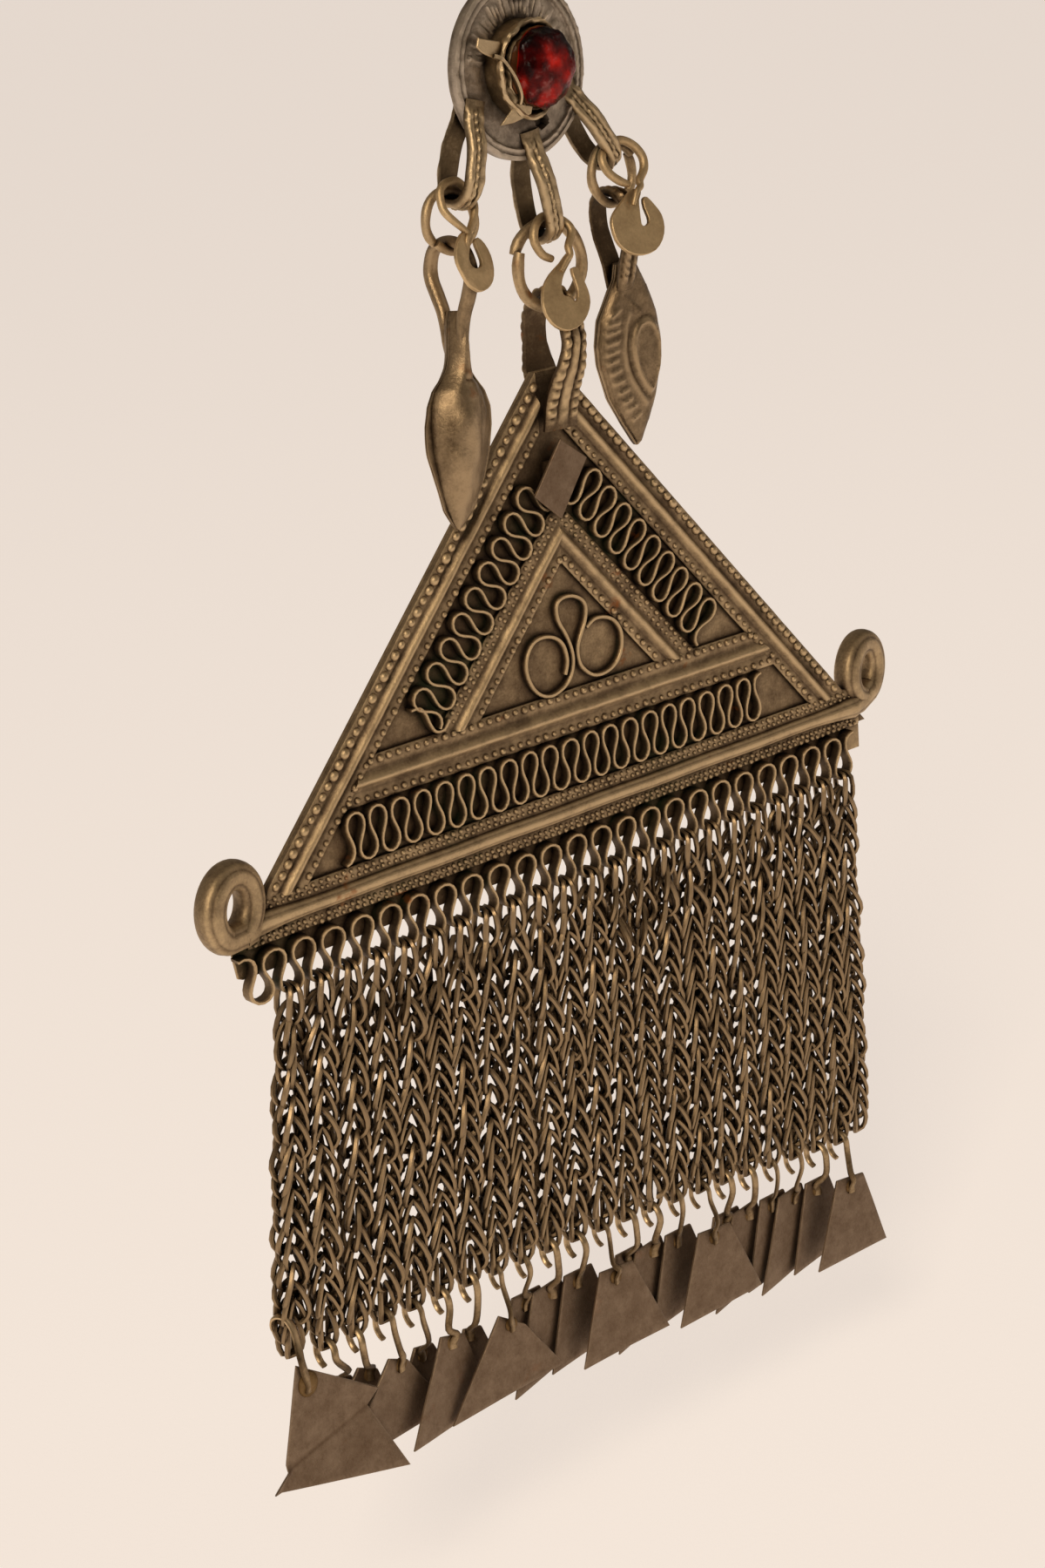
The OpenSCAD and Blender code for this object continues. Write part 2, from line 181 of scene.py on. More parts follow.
class Shape:
    """Mesh data in millimetres. tone runs from -1, dark, to 1, bright: dirt in recesses and rubbed edges, and painted
    shade and painted highlights as well.
    """

    def __init__(self):
        self.verts, self.faces, self.tones, self.slots, self.count, self.slot = [], [], [], [], 0, 0

    def add(self, verts, faces, tone=0.0):
        verts = np.asarray(verts, float).reshape(-1, 3)
        self.verts.append(verts)
        self.tones.append(np.broadcast_to(np.asarray(tone, float).reshape(-1), len(verts)))
        self.faces.extend([self.count + i for i in f] for f in faces)
        self.slots.extend([self.slot] * len(faces))
        self.count += len(verts)

    def grid(self, p, wrap_rows=False, wrap_cols=False, caps=0, tone=0.0):
        """A surface through p[row][column]; caps = 1 closes its last row, 2 its first row too."""
        p = np.asarray(p, float)
        n, m = p.shape[:2]
        faces = [(i * m + j, i * m + (j + 1) % m, (i + 1) % n * m + (j + 1) % m, (i + 1) % n * m + j)
                 for i in range(n if wrap_rows else n - 1) for j in range(m if wrap_cols else m - 1)]
        if caps:
            faces += [tuple(range(m - 1, -1, -1)), tuple((n - 1) * m + j for j in range(m))][2 - caps:]
        tone = np.asarray(tone, float)
        if tone.ndim:
            tone = np.broadcast_to(tone, (n, m))
        self.add(p, faces, tone)

    def sweep(self, path, profile, closed=False, across=None, size=1.0, tone=0.0):
        """profile[k] = (offset along the first axis, offset along the second); size[i] = one factor or two."""
        path, profile = np.asarray(path, float), np.asarray(profile, float)
        a, b = path_axes(path, closed, across)
        size = np.asarray(size, float)
        size = np.broadcast_to(size if size.ndim == 2 else size.reshape(-1, 1), (len(path), 2))[:, None]
        offset = size * profile[None]
        self.grid(path[:, None] + offset[..., :1] * a[:, None] + offset[..., 1:] * b[:, None],
                  closed, True, 0 if closed else 2, tone)

    def wire(self, path, r, sides=8, closed=False, size=1.0, tone=0.0):
        self.sweep(path, circle(sides, r), closed, None, size, tone)

    def ribbon(self, path, t, y0, y1, wall=-0.7, edge=0.5):
        """A flat ribbon that stands on edge: path in X and Z, from y0 in front back to y1."""
        p = np.array([(x, 0.0, z) for x, z in path])
        h = t / 2
        # its walls are painted darker than its front edge, as shade
        half = [(h * 0.62, y0, edge), (h, y0 + 0.12, edge * 0.6), (h, y0 + 0.45, wall), (h, y1, wall)]
        profile = [(-o, y, tone) for o, y, tone in half[::-1]] + half
        out = path_axes(p, False, (0, 1, 0))[0]
        q = [[pt + o * a + (0, y, 0) for o, y, _ in profile] for pt, a in zip(p, out)]
        self.grid(q, False, True, 2, np.array([[tone for *_, tone in profile]]))

    def dome(self, at, r, h, out=(0, -1, 0), sides=8, rings=3, tone=0.6, long=None, stretch=1.0):
        """A bead: half a ball of radius r and height h, stretched along the axis long."""
        out = unit(out)
        a = unit(np.cross(out, (0, 0, 1) if abs(out[2]) < 0.9 else (1, 0, 0)) if long is None else long)
        ring = circle(sides)
        ring = stretch * ring[:, :1] * a + ring[:, 1:] * np.cross(out, a)
        p = [np.asarray(at) + r * math.cos(v) * ring + h * math.sin(v) * out
             for v in (math.pi / 2 * k / rings * 0.96 for k in range(rings + 1))]
        # its tone falls towards its foot: painted shade where it meets the surface
        self.grid(p, False, True, 1, np.linspace(tone - 1.1, tone, rings + 1)[:, None])

    def layers(self, p, tone, edge):
        """A flat piece through four outlines, front to back; the middle two carry its edge."""
        n = p.shape[1]
        faces = [(i * n + j, (i + 1) * n + j, (i + 1) * n + (j + 1) % n, i * n + (j + 1) % n)
                 for i in range(3) for j in range(n)]
        faces += [tuple(range(n)), tuple(3 * n + j for j in range(n - 1, -1, -1))]
        self.add(p, faces, np.repeat([tone, edge, edge, tone], n))

    def slab(self, outline, y0, y1, bevel=0.0, tone=0.0, edge=0.5, bend=lambda p: p):
        """A flat sheet: outline in X and Z, from y0 in front back to y1, its edges rubbed round."""
        o = np.asarray(outline, float)
        if runs_backwards(o):
            o = o[::-1]
        d = unit(np.roll(o, -1, 0) - o)
        m = unit(d + np.roll(d, 1, 0))
        inner = o + np.stack([-m[:, 1], m[:, 0]], 1) * bevel / np.maximum(0.35, np.sum(m * d, 1))[:, None]
        rows = [(inner, y0), (o, y0 + bevel), (o, y1 - bevel), (inner, y1)]
        self.layers(bend(np.array([[(x, y, z) for x, z in r] for r, y in rows])), tone, edge)

    def piece(self, name, materials, body, node, slot, at=ROD_AT, sharp=42):
        """The mesh as a piece that rides on a body and stands for a CAD node."""
        mesh = bpy.data.meshes.new(name)
        verts = (np.concatenate(self.verts) + at) * 0.001
        mesh.from_pydata(verts.tolist(), [], self.faces)
        tone = mesh.attributes.new("tone", "FLOAT", "POINT")
        tone.data.foreach_set("value", np.concatenate(self.tones).astype(np.float32))
        for m in materials:
            mesh.materials.append(m)
        mesh.polygons.foreach_set("material_index", self.slots)
        mesh.shade_smooth()
        mesh.set_sharp_from_angle(angle=math.radians(sharp))
        mesh.validate()
        piece = in_scene(name, mesh)
        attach(piece, body)
        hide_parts(node)


# ---------------------------------------------------------------- materials
class Nodes:
    """The shader nodes of a material or a world."""

    def __init__(self, owner, shader="Principled BSDF"):
        owner.use_nodes = True
        self.owner, self.tree = owner, owner.node_tree
        self.shader = self.tree.nodes[shader]
        self.coords = None

    def add(self, kind, **values):
        """A node; each value goes to the input of that name, or to the node's own setting."""
        node = self.tree.nodes.new("ShaderNode" + kind)
        for key, value in values.items():
            name = key.replace("_", " ")
            if name in node.inputs:
                self.put(value, node.inputs[name])
            else:
                setattr(node, key, value)
        return node

    def put(self, value, socket):
        if isinstance(value, bpy.types.NodeSocket):
            self.tree.links.new(value, socket)
        else:
            socket.default_value = value

    def math(self, operation, *values):
        node = self.add("Math", operation=operation)
        for value, socket in zip(values, node.inputs):
            self.put(value, socket)
        return node.outputs[0]

    def sum(self, *terms):
        """Adds (factor, value) pairs and plain numbers."""
        total = sum(t for t in terms if not isinstance(t, tuple))
        for factor, value in (t for t in terms if isinstance(t, tuple)):
            total = self.math("MULTIPLY_ADD", value, factor, total)
        return total

    @property
    def object(self):
        """The object's own coordinates."""
        self.coords = self.coords or self.add("TexCoord").outputs["Object"]
        return self.coords

    def tone(self):
        return self.add("Attribute", attribute_name="tone").outputs["Fac"]

    def noise(self, scale, detail, rough=0.6, vector=None):
        return self.add("TexNoise", Scale=scale, Detail=detail, Roughness=rough,
                        Vector=vector or self.object).outputs["Fac"]

    def mapped(self, scale, rotation):
        return self.add("Mapping", Scale=scale, Rotation=rotation, Vector=self.object).outputs[0]

    def ramp(self, fac, stops):
        node = self.add("ValToRGB", Fac=fac)
        ramp = node.color_ramp
        for _ in stops[2:]:
            ramp.elements.new(0.5)
        for element, (at, colour) in zip(ramp.elements, stops):
            element.position = at
            element.color = (*(colour if isinstance(colour, tuple) else (colour,) * 3), 1)
        return node.outputs["Color"]

    def where(self, value, empty, full):
        """0 where the value is below empty, 1 above full; the other way round if full is less."""
        stops = [(empty, 0.0), (full, 1.0)]
        return self.ramp(value, stops if empty < full else stops[::-1])

    def mix(self, fac, a, b):
        node = self.add("Mix", data_type="RGBA")
        self.put(fac, node.inputs["Factor"])
        for value, name in ((a, "A"), (b, "B")):
            socket = next(s for s in node.inputs if s.name == name and s.type == "RGBA")
            self.put((*value, 1) if isinstance(value, tuple) else value, socket)
        return next(s for s in node.outputs if s.type == "RGBA")

    def bump(self, height, depth, strength=1.0):
        self.set(Normal=self.add("Bump", Strength=strength, Distance=depth, Height=height).outputs["Normal"])

    def set(self, **values):
        for key, value in values.items():
            self.put(value, self.shader.inputs[key.replace("_", " ")])


def metal(name, dark, mid, bright, rough, dirt_and_shade=1.0, grain=0.00006, rust=0.0, green=0.0, scratch=0.0):
    """Old worn metal: dirt and painted shade in the recesses, rubbed edges, fine pits and scratches."""
    m = Nodes(bpy.data.materials.new(name))
    # ambient occlusion darkens the recesses and the gaps between parts, partly as dirt and partly as painted shade;
    # the tone adds the mesh's painted shade and highlights
    wide, near = (m.add("AmbientOcclusion", Distance=d, samples=6).outputs["AO"] for d in (0.0022, 0.0007))
    blotch, pits, patch = m.noise(420, 5), m.noise(2600, 4, 0.7), m.noise(110, 3)
    wear_and_shade = m.sum(-0.48 * dirt_and_shade + 0.12, (0.24, m.tone()), (0.42 * dirt_and_shade, wide), (0.3 * dirt_and_shade, near),
                 (0.5, blotch), (0.36, pits), (0.2, patch), -0.2)
    colour = m.ramp(wear_and_shade, [(0.02, dark), (0.46, mid), (0.86, bright)])
    if green:
        spots = m.math("MULTIPLY", m.where(m.noise(95, 5, 0.65), 0.52, 0.64), m.where(wide, 0.85, 0.35))
        colour = m.mix(m.math("MULTIPLY", spots, green), colour, (0.035, 0.07, 0.03))
    if rust:
        spots = m.where(m.noise(150, 4, 0.6, m.mapped((1, 1, 1.3), (0.4, 0.2, 0))), 0.66, 0.72)
        colour = m.mix(m.math("MULTIPLY", spots, rust), colour, (0.3, 0.1, 0.025))
    height = m.sum((0.55, pits), (0.8, blotch))
    roughness = m.sum(rough[1] + 0.08, (rough[0] - rough[1], wear_and_shade), (0.12, pits))
    if scratch:
        lines = [m.where(m.noise(60, 3, 0.75, m.mapped((s, s * 0.04, 18), (0.1, r, 0))), 0.5, 0.62)
                 for s, r in ((30, 0.5), (22, -0.9))]
        height = m.sum((1.0, height), (0.55 * scratch, lines[0]), (0.4 * scratch, lines[1]))
        roughness = m.sum((1.0, roughness), (0.1 * scratch, lines[0]))
    m.bump(height, grain)
    m.set(Base_Color=colour, Metallic=1.0, Roughness=m.math("MAXIMUM", roughness, 0.18))
    return m.owner


def glass_stone():
    """Deep red glass, cracked through, with resin round its edge."""
    m = Nodes(bpy.data.materials.new("red_glass"))
    place = m.add("VectorMath", operation="ADD", Vector=m.object)
    stir = m.add("VectorMath", operation="SCALE", Scale=0.004,
                 Vector=m.add("TexNoise", Scale=300.0).outputs["Color"])
    m.put(stir.outputs[0], place.inputs[1])
    cells = m.add("TexVoronoi", Scale=420.0, Vector=place.outputs[0])
    veins = m.add("TexVoronoi", Scale=330.0, feature="DISTANCE_TO_EDGE", Vector=place.outputs[0])
    tone = m.tone()
    cell = m.add("SeparateColor", Color=cells.outputs["Color"]).outputs[0]
    # the mesh's tone brings the stone's painted light and shade into its depth
    depth = m.sum(0.06, (0.62, m.noise(230, 5, 0.65)), (0.3, cell), (0.1, tone))
    colour = m.ramp(depth, [(0.36, (0.003, 0.0002, 0.0002)), (0.44, (0.03, 0.001, 0.001)),
                            (0.55, (0.17, 0.003, 0.002)), (0.7, (0.7, 0.018, 0.008))])
    crack = m.math("MULTIPLY", m.where(veins.outputs["Distance"], 0.035, 0.0), m.where(m.noise(170, 3), 0.5, 0.62))
    haze = m.math("MULTIPLY", m.where(m.noise(420, 5, 0.7), 0.57, 0.64), 0.34)
    colour = m.mix(m.math("MAXIMUM", m.math("MULTIPLY", crack, 0.75), haze), colour, (0.42, 0.17, 0.15))
    at_edge = m.where(m.math("ABSOLUTE", m.sum(-1.0, (1.0, tone))), 0.04, 0.0)
    colour = m.mix(at_edge, colour, (0.1, 0.034, 0.01))
    m.bump(m.sum((0.7, m.noise(600, 5, 0.6)), (0.8, cell), (0.5, crack)), 0.00035)
    m.set(Base_Color=colour, Roughness=m.math("MULTIPLY_ADD", m.noise(900, 3), 0.2, 0.0), IOR=1.5,
          Specular_IOR_Level=0.14)
    return m.owner


# ---------------------------------------------------------------- stage and lights
def area(name, at, target, size, power, colour):
    data = bpy.data.lights.new(name, "AREA")
    data.shape, data.size, data.size_y, data.energy, data.color = "RECTANGLE", *size, power, colour
    light = in_scene(name, data)
    light.location = at
    light.rotation_euler = (Vector(target) - Vector(at)).to_track_quat("-Z", "Y").to_euler()


def add_stage():
    m = Nodes(bpy.data.materials.new("floor"))
    m.set(Base_Color=(0.42, 0.4, 0.38, 1), Roughness=0.9, Emission_Color=(0.73, 0.645, 0.58, 1),
          Emission_Strength=1.0)
    m.bump(m.noise(900, 3), 0.0002, 0.3)
    mesh = bpy.data.meshes.new("floor")
    half, z = 30.0, -0.42
    mesh.from_pydata([(x * half, y * half, z) for x, y in ((-1, -1), (1, -1), (1, 1), (-1, 1))], [], [(0, 1, 2, 3)])
    mesh.materials.append(m.owner)
    in_scene("floor", mesh)

    # the sky that lights the metal is brighter behind the necklace; the camera sees a plain pale one
    w = Nodes(bpy.data.worlds.new("studio"), "Background")
    bpy.context.scene.world = w.owner
    split = w.add("SeparateXYZ", Vector=w.add("TexCoord").outputs["Generated"])
    sky = w.ramp(w.math("MULTIPLY_ADD", split.outputs["Y"], 0.5, 0.5),
                 [(0.4, (0.05, 0.04, 0.032)), (0.8, (0.45, 0.39, 0.33))])
    w.set(Color=sky, Strength=0.5)
    mix = w.add("MixShader")
    for socket, output in zip(mix.inputs, (w.add("LightPath").outputs["Is Camera Ray"], w.shader.outputs[0],
                                           w.add("Background", Color=(0.87, 0.76, 0.67, 1)).outputs[0])):
        w.put(output, socket)
    w.put(mix.outputs[0], w.tree.nodes["World Output"].inputs["Surface"])

    middle = (0, -0.12, -0.29)
    area("key", (-0.8, -0.75, 0.45), middle, (0.28, 0.28), 7.5, (1, 0.87, 0.7))
    area("fill", (0.75, -0.6, 0.3), middle, (0.4, 0.6), 0.8, (1, 0.9, 0.78))
    bpy.context.scene.view_settings.view_transform = "Standard"


# ---------------------------------------------------------------- amulet plate
ANGLE = math.radians(48.5)
CA, SA, TA = math.cos(ANGLE), math.sin(ANGLE), math.tan(ANGLE)
APEX_Z = 105.6 / 2 * TA
# The steepest turn of a ribbon as it waves
LOBE_TURN = math.radians(114)
CHAIN_COUNT, CHAIN_PITCH, FIRST_LOBE_X = 23, 4.41, -54.6
CURL_RADIUS, CURL_WIRE = 3.9, 1.84
# How far the foot of a bead lies below the face that it sits on
BEAD_SINK = 0.03
# Sections of the strips: place across, height, tone; the tone is darker in the troughs, as painted shade
OUTER = [(0, -.1, -.8), (0, .5, -.6), (.15, .62, -.2), (.75, .66, -.4), (1.35, .6, -.6), (1.78, .46, -1),
         (2.02, .56, -.5), (2.2, .8, 0), (2.42, 1.06, .25), (2.7, 1.16, .35), (2.98, 1.06, .25), (3.2, .8, 0),
         (3.38, .56, -.5), (3.62, .46, -1), (4, .58, -.5), (4.6, .64, -.3), (5.05, .58, -.3), (5.2, .42, -.1),
         (5.2, -.1, -.6)]
INNER = [(12.45, -.1, -.6), (12.45, .42, -.1), (12.6, .55, 0), (13.35, .6, -.5), (14.1, .55, -.5), (14.38, .46, -.9),
         (14.65, .56, -.5), (14.85, .8, 0), (15.08, 1.06, .25), (15.36, 1.16, .35), (15.64, 1.06, .25),
         (15.87, .8, 0), (16.07, .56, -.5), (16.32, .46, -1), (16.65, .56, -.5), (17.2, .62, -.4), (17.65, .56, -.1),
         (17.8, .42, 0), (17.8, -.1, -.5)]
BAR = [(10.1, -.1, -.6), (10.1, .42, -.1), (10.25, .56, 0), (10.9, .62, -.5), (11.5, .56, -.5), (11.9, .46, -.9),
       (12.22, .56, -.5), (12.48, .82, 0), (12.74, 1.06, .25), (13, 1.14, .35), (13.26, 1.06, .25), (13.52, .82, 0),
       (13.78, .56, -.5), (14.12, .46, -1), (14.6, .56, -.5), (15.4, .62, -.4), (15.8, .56, -.1), (15.95, .42, 0),
       (15.95, -.1, -.5)]
FOOT = [(-2.85, -.1, -.4), (-2.85, .42, 0), (-2.7, .55, .2), (-2.1, .6, -.1), (-1.5, .55, -.3), (-1.2, .5, -.6),
        (1.2, .5, -.6), (1.5, .55, -.3), (2.1, .6, -.1), (2.75, .55, .2), (2.9, .42, .2), (2.9, -.1, -.4)]
# Rows of beads on the side strips: place across, radius, height, how high they sit, pitch, start, end, stretch
SIDE_BEADS = [(0.8, 0.6, 0.58, 0.6, 1.5, 4.0, 3.2, 1.25), (4.6, 0.45, 0.46, 0.58, 1.5, 4.0, 3.4, 1.1),
              (12.95, 0.38, 0.4, 0.52, 1.2, 0.7, 16.2, 1.0), (13.85, 0.34, 0.32, 0.5, 1.1, 0.7, 16.2, 1.0),
              (17.2, 0.46, 0.47, 0.56, 1.45, 0.7, 16.4, 1.05)]
# The same on the level ones: Z, radius, height, pitch, half the row's length (None: as far as the bar goes)
LEVEL_BEADS = [(10.9, 0.44, 0.46, 1.45, None), (15.35, 0.48, 0.5, 1.45, None),
               (2.45, 0.36, 0.36, 1.15, 51.6), (1.72, 0.3, 0.3, 0.95, 51.9), (-1.72, 0.32, 0.32, 0.9, 52.6),
               (-2.42, 0.38, 0.38, 1.1, 52.8)]
# The trefoil's wire in X and Z
TREFOIL = [(-0.8, 18.2), (-0.3, 19.9), (-0.7, 21.9), (-1.8, 23.2), (-3.6, 23.9), (-5.5, 23.7), (-6.8, 22.3),
           (-7.2, 20.4), (-6.6, 18.3), (-5.3, 16.7), (-3.4, 16.0), (-1.4, 16.5), (-0.1, 17.5), (0.6, 19.1),
           (0.6, 21.0), (-0.2, 23.3), (-1.3, 25.4), (-1.5, 27.3), (-0.6, 28.2), (1.1, 28.2), (2.7, 27.4),
           (3.4, 26.2), (3.1, 24.4), (2.2, 22.7), (1.6, 21.3), (1.6, 19.8), (2.2, 18.4), (3.9, 17.0), (6.0, 16.8),
           (7.9, 17.6), (9.0, 19.2), (9.2, 21.4), (8.2, 23.2), (6.6, 24.1), (4.8, 24.3), (3.3, 23.5)]


def wave(count, pitch, h, half=0, steps=24):
    """The ribbon's serpentine path, as in part.scad: whole waves and then half ones."""
    raw = [np.zeros(2)]
    for i in range(steps):
        a = LOBE_TURN * math.sin(2 * math.pi * (i + 0.5) / steps)
        raw.append(raw[-1] + (math.cos(a), math.sin(a)))
    sx, sz = 1 / raw[steps][0], 1 / raw[steps // 2][1]
    return np.array([(pitch * (raw[k % steps][0] * sx + k // steps), h * raw[k % steps][1] * sz)
                     for k in range(count * steps + half * steps // 2 + 1)])


def side_point(side, s, d, h):
    """A point on a slanted side: s down along it, d in from it, h in front of the sheet."""
    return (side * (s * CA - d * SA), -h, APEX_Z - s * SA - d * CA)


def strip(shape, profile, rows, seed, span, at, side=0):
    """A ridged strip: span(d) is where its line d starts and ends, at(s, d, h) a point of it."""
    def point(i, line):
        j, (d, h, tone) = line
        start, end = span(d)
        s = start + (end - start) * i / (rows - 1)
        bump = 0.07 * lumps(s * 0.35 + seed, d * 0.9, side * 5.0 or 3.0) if h > 0 else 0
        rub = 0.45 * lumps(i * 0.33, j * 0.5, (seed + side) * 3.1) - 0.08
        return at(s, d, h + bump), tone + rub
    p, tones = lattice(range(rows), list(enumerate(profile)), point)
    shape.grid(p, False, True, 2, tones)


def bead_row(shape, points, r, h, rng, tone, long=None, stretch=1.0, sides=8):
    """Beads of solder, each a little out of size and line."""
    for p in points:
        k = rng.uniform(0.8, 1.12)
        jitter = (rng.uniform(-0.08, 0.08), 0, rng.uniform(-0.06, 0.06))
        shape.dome(np.array(p) + jitter, r * k, h * k, sides=sides, tone=tone, long=long, stretch=stretch)


def rod_with_curls():
    """The rod's path: its ends are curled up, the left one forward and the right one back."""
    curls = []
    for side, out, up, slope in ((-1, 55.8, 3.8, 0.36), (1, 56.1, 4.2, 0.3)):
        r = CURL_RADIUS * math.cos(math.atan(slope))
        curl = [(53.2, 0.0), (54.3, -0.05)] + [(out - r * math.cos(v), up + CURL_RADIUS * math.sin(v))
                                               for v in map(math.radians, range(244, -84, -9))]
        curls.append([(side * x, side * slope * max(0.0, x - 51), z) for x, z in curl])
    return np.array(curls[0][::-1] + [(x, 0, 0.05 * math.sin(x * 0.35)) for x in range(-52, 53, 4)] + curls[1])


def build_plate(materials):
    rng = random.Random(11)
    s = Shape()
    # sheet, its faces darker than its edges
    half = (APEX_Z + 2.8) / TA
    s.slab([(-half, -2.8), (half, -2.8), (2.1, APEX_Z - 2.4), (-2.1, APEX_Z - 2.4)], 0, 0.8, 0.15, -0.9, -0.5)

    # strips with their ridges
    for profile, first, last, rows, seed in ((OUTER, 2.1, 2.5, 80, 1), (INNER, 0.0, 15.5, 56, 2)):
        for side in (-1, 1):
            strip(s, profile, rows, seed, lambda d: (d * TA + first / CA, (APEX_Z - last - d * CA) / SA),
                  lambda *at: side_point(side, *at), side)
    bar_half = lambda z: (APEX_Z - 4.4 / CA - z) / TA
    for profile, half_at, seed in ((BAR, bar_half, 3), (FOOT, lambda z: 53.2, 4)):
        strip(s, profile, 90, seed, lambda z: (-half_at(z), half_at(z)), lambda x, z, h: (x, -h, z))

    # rod, grooved along its length; its grooves are painted darker, as shade, and its curls are darker all over
    path = rod_with_curls()
    end = np.abs(path[:, 0])
    in_curl = (end > 53) | (path[:, 2] > 1.0)
    size = np.stack([np.where(in_curl, CURL_WIRE, np.interp(end, [46, 53], [thin, 1.8]))
                     for thin in (1.12, 1.3)], 1)
    rod, tones = [], []
    for c, d in circle(40):
        groove = bell(abs(math.atan2(abs(c), abs(d))) - 0.5, 0.13)
        rod.append([(1 - 0.07 * groove) * squared(q, 0.86) for q in (c, d)])
        tones.append(0.25 - 0.9 * groove if abs(d) > 0.5 else -0.2)
    s.sweep(path, rod, False, (0, 1, 0), size, np.array([tones]) - 0.45 * in_curl[:, None])

    # beads
    for side in (-1, 1):
        for d, r, h, on, pitch, start, last, stretch in SIDE_BEADS:
            places = np.arange(d * TA + start, (APEX_Z - last - d * CA) / SA, pitch)
            tone, sides = (1.0, 10) if d < 1 else (0.7, 8)
            bead_row(s, [side_point(side, v, d, on - BEAD_SINK) for v in places], r, h, rng, tone,
                     (side * CA, 0, -SA), stretch, sides)
    for z, r, h, pitch, half in LEVEL_BEADS:
        half = half or bar_half(z)
        places = np.arange(0.6 - half, half - 0.4, pitch)
        bead_row(s, [(x, BEAD_SINK - 0.58, z) for x in places], r, h, rng, 0.65)

    # ribbons: the bottom band, the two slanted bands, and the row of lobes, its first one half broken away
    def wobble(p, seed):
        q = np.array([(x, 0.0, z) for x, z in p])
        return p + 0.16 * np.stack([rough(q, 0.16, seed), rough(q, 0.16, seed + 5)], 1)

    x, z = (wave(9, 3.54, 6.1) * (1, -1)).T
    slanted = np.stack(spin(x, z, math.pi + ANGLE), 1) + (-CA * 15 + SA * 12, APEX_Z - SA * 15 - CA * 12)
    for seed, path in enumerate((wave(20, 3.5, 6.3, 1) + (-38.1, 3.5), slanted, slanted * (-1, 1)), 1):
        s.ribbon(wobble(path, seed), 0.4, -1.32, 0.05)
    lobes = wave(CHAIN_COUNT + 1, CHAIN_PITCH, 6.3, 1)[11:] + (FIRST_LOBE_X - CHAIN_PITCH / 2, -9.7)
    s.ribbon(wobble(lobes, 4), 0.42, -1.5, 0.2, -1.1, 0.25)
    loose = [(-26.3, 20.1), (-25, 20.1), (-24.1, 19.1), (-23.5, 17.6), (-22.7, 16.5), (-21.4, 16.5), (-20.5, 17.5)]
    s.ribbon(smooth(loose, 4), 0.4, -1.3, 0.05)
    s.slab([(-54.6, -6.3), (-53.9, -6.6), (54, -6.6), (54, -2.3), (-55.2, -2.3)], 0.15, 0.65, 0.1, -0.3, 0.1)
    # one wire bent into a trefoil
    s.ribbon(smooth(TREFOIL, 4), 0.5, -0.82, 0.05)

    # patch of sheet soldered over the ribbons near the apex, and what it stands on
    s.slot = 1
    s.slab([(-0.1, 48.8), (4.4, 45.6), (-0.4, 38.7), (-4.8, 42.4)], -1.95, -1.5, 0.08, 0.0, 0.5,
           lambda p: p + (0, 1, 0) * (-0.045 * (p[..., 2:] - 44) + 0.05 * (p[..., :1] - 0.5)))
    s.slot = 0
    s.slab([(-1.6, 42), (1.4, 42), (1.4, 46), (-1.6, 46)], -1.55, 0.1, 0.05, -0.8, -0.8)

    # strap at the apex
    path = smooth([(-1.6, 50), (-1.8, 54), (-3.2, 58), (-3.4, 61.5), (-2.1, 64.9), (0.4, 66.6), (2.9, 64.9),
                   (4, 61.5), (3, 57.5), (1, 54), (0.7, 50.5)], 10)
    strap(s, "plate", path, lambda t: np.interp(t, [0, 0.1, 0.2, 0.27, 0.5, 0.73, 0.8, 0.9, 1],
                                                [5.3, 5.2, 4.9, 3.7, 3.4, 3.7, 4.9, 5.2, 5.3]), 0.75,
          centre=lambda t: np.interp(t, [0, 0.14, 0.3, 0.7, 0.86, 1], [0.5, 1.2, 2.1, 2.1, 1.2, 0.5]))
    s.piece("amulet_plate_detail", materials, "amulet", "amulet_plate", "aged_metal")


# A strap's points across, its ground's tone, and what is beaten into it: middle and half width as parts of its
# half width, height, kind
STRAPS = {"plate": (25, -1.35, [(-0.7, 0.28, 0.42, "beads"), (0, 0.34, 0.28, "rib"), (0.72, 0.26, 0.4, "beads")]),
          "bail": (15, -1.0, [(-0.64, 0.34, 0.34, "rib"), (-0.08, 0.24, 0.36, "cord"), (0.58, 0.4, 0.32, "rib")]),
          "leaf": (23, -1.0, [(-0.45, 0.34, 0.42, "cord"), (0.52, 0.3, 0.26, "cord")])}


def strap_relief(columns, s, v, seed):
    """Height of a strap's outer face, at a place along and across it."""
    wander = 0.07 * lumps(s * 0.4, seed, 2.0)
    lump = lumps(s * 0.9, v * 1.6, seed)
    height = 0.0
    for middle, half, high, kind in columns:
        across = (v - middle - wander) / half
        if abs(across) < 1:
            h = high * math.sqrt(1 - across * across)
            if kind == "cord":
                h *= 0.5 + 0.5 * abs(math.sin(math.pi * (s / 1.05 + 0.35 * across)))
            elif kind == "beads":
                h *= 0.3 + 0.7 * abs(math.sin(math.pi * (s / 1.25 + 0.2 * lump) + middle)) ** 0.8
            else:
                h *= 1 + 0.3 * lump
            height = max(height, h)
    return 1.25 * height + 0.06 * lump


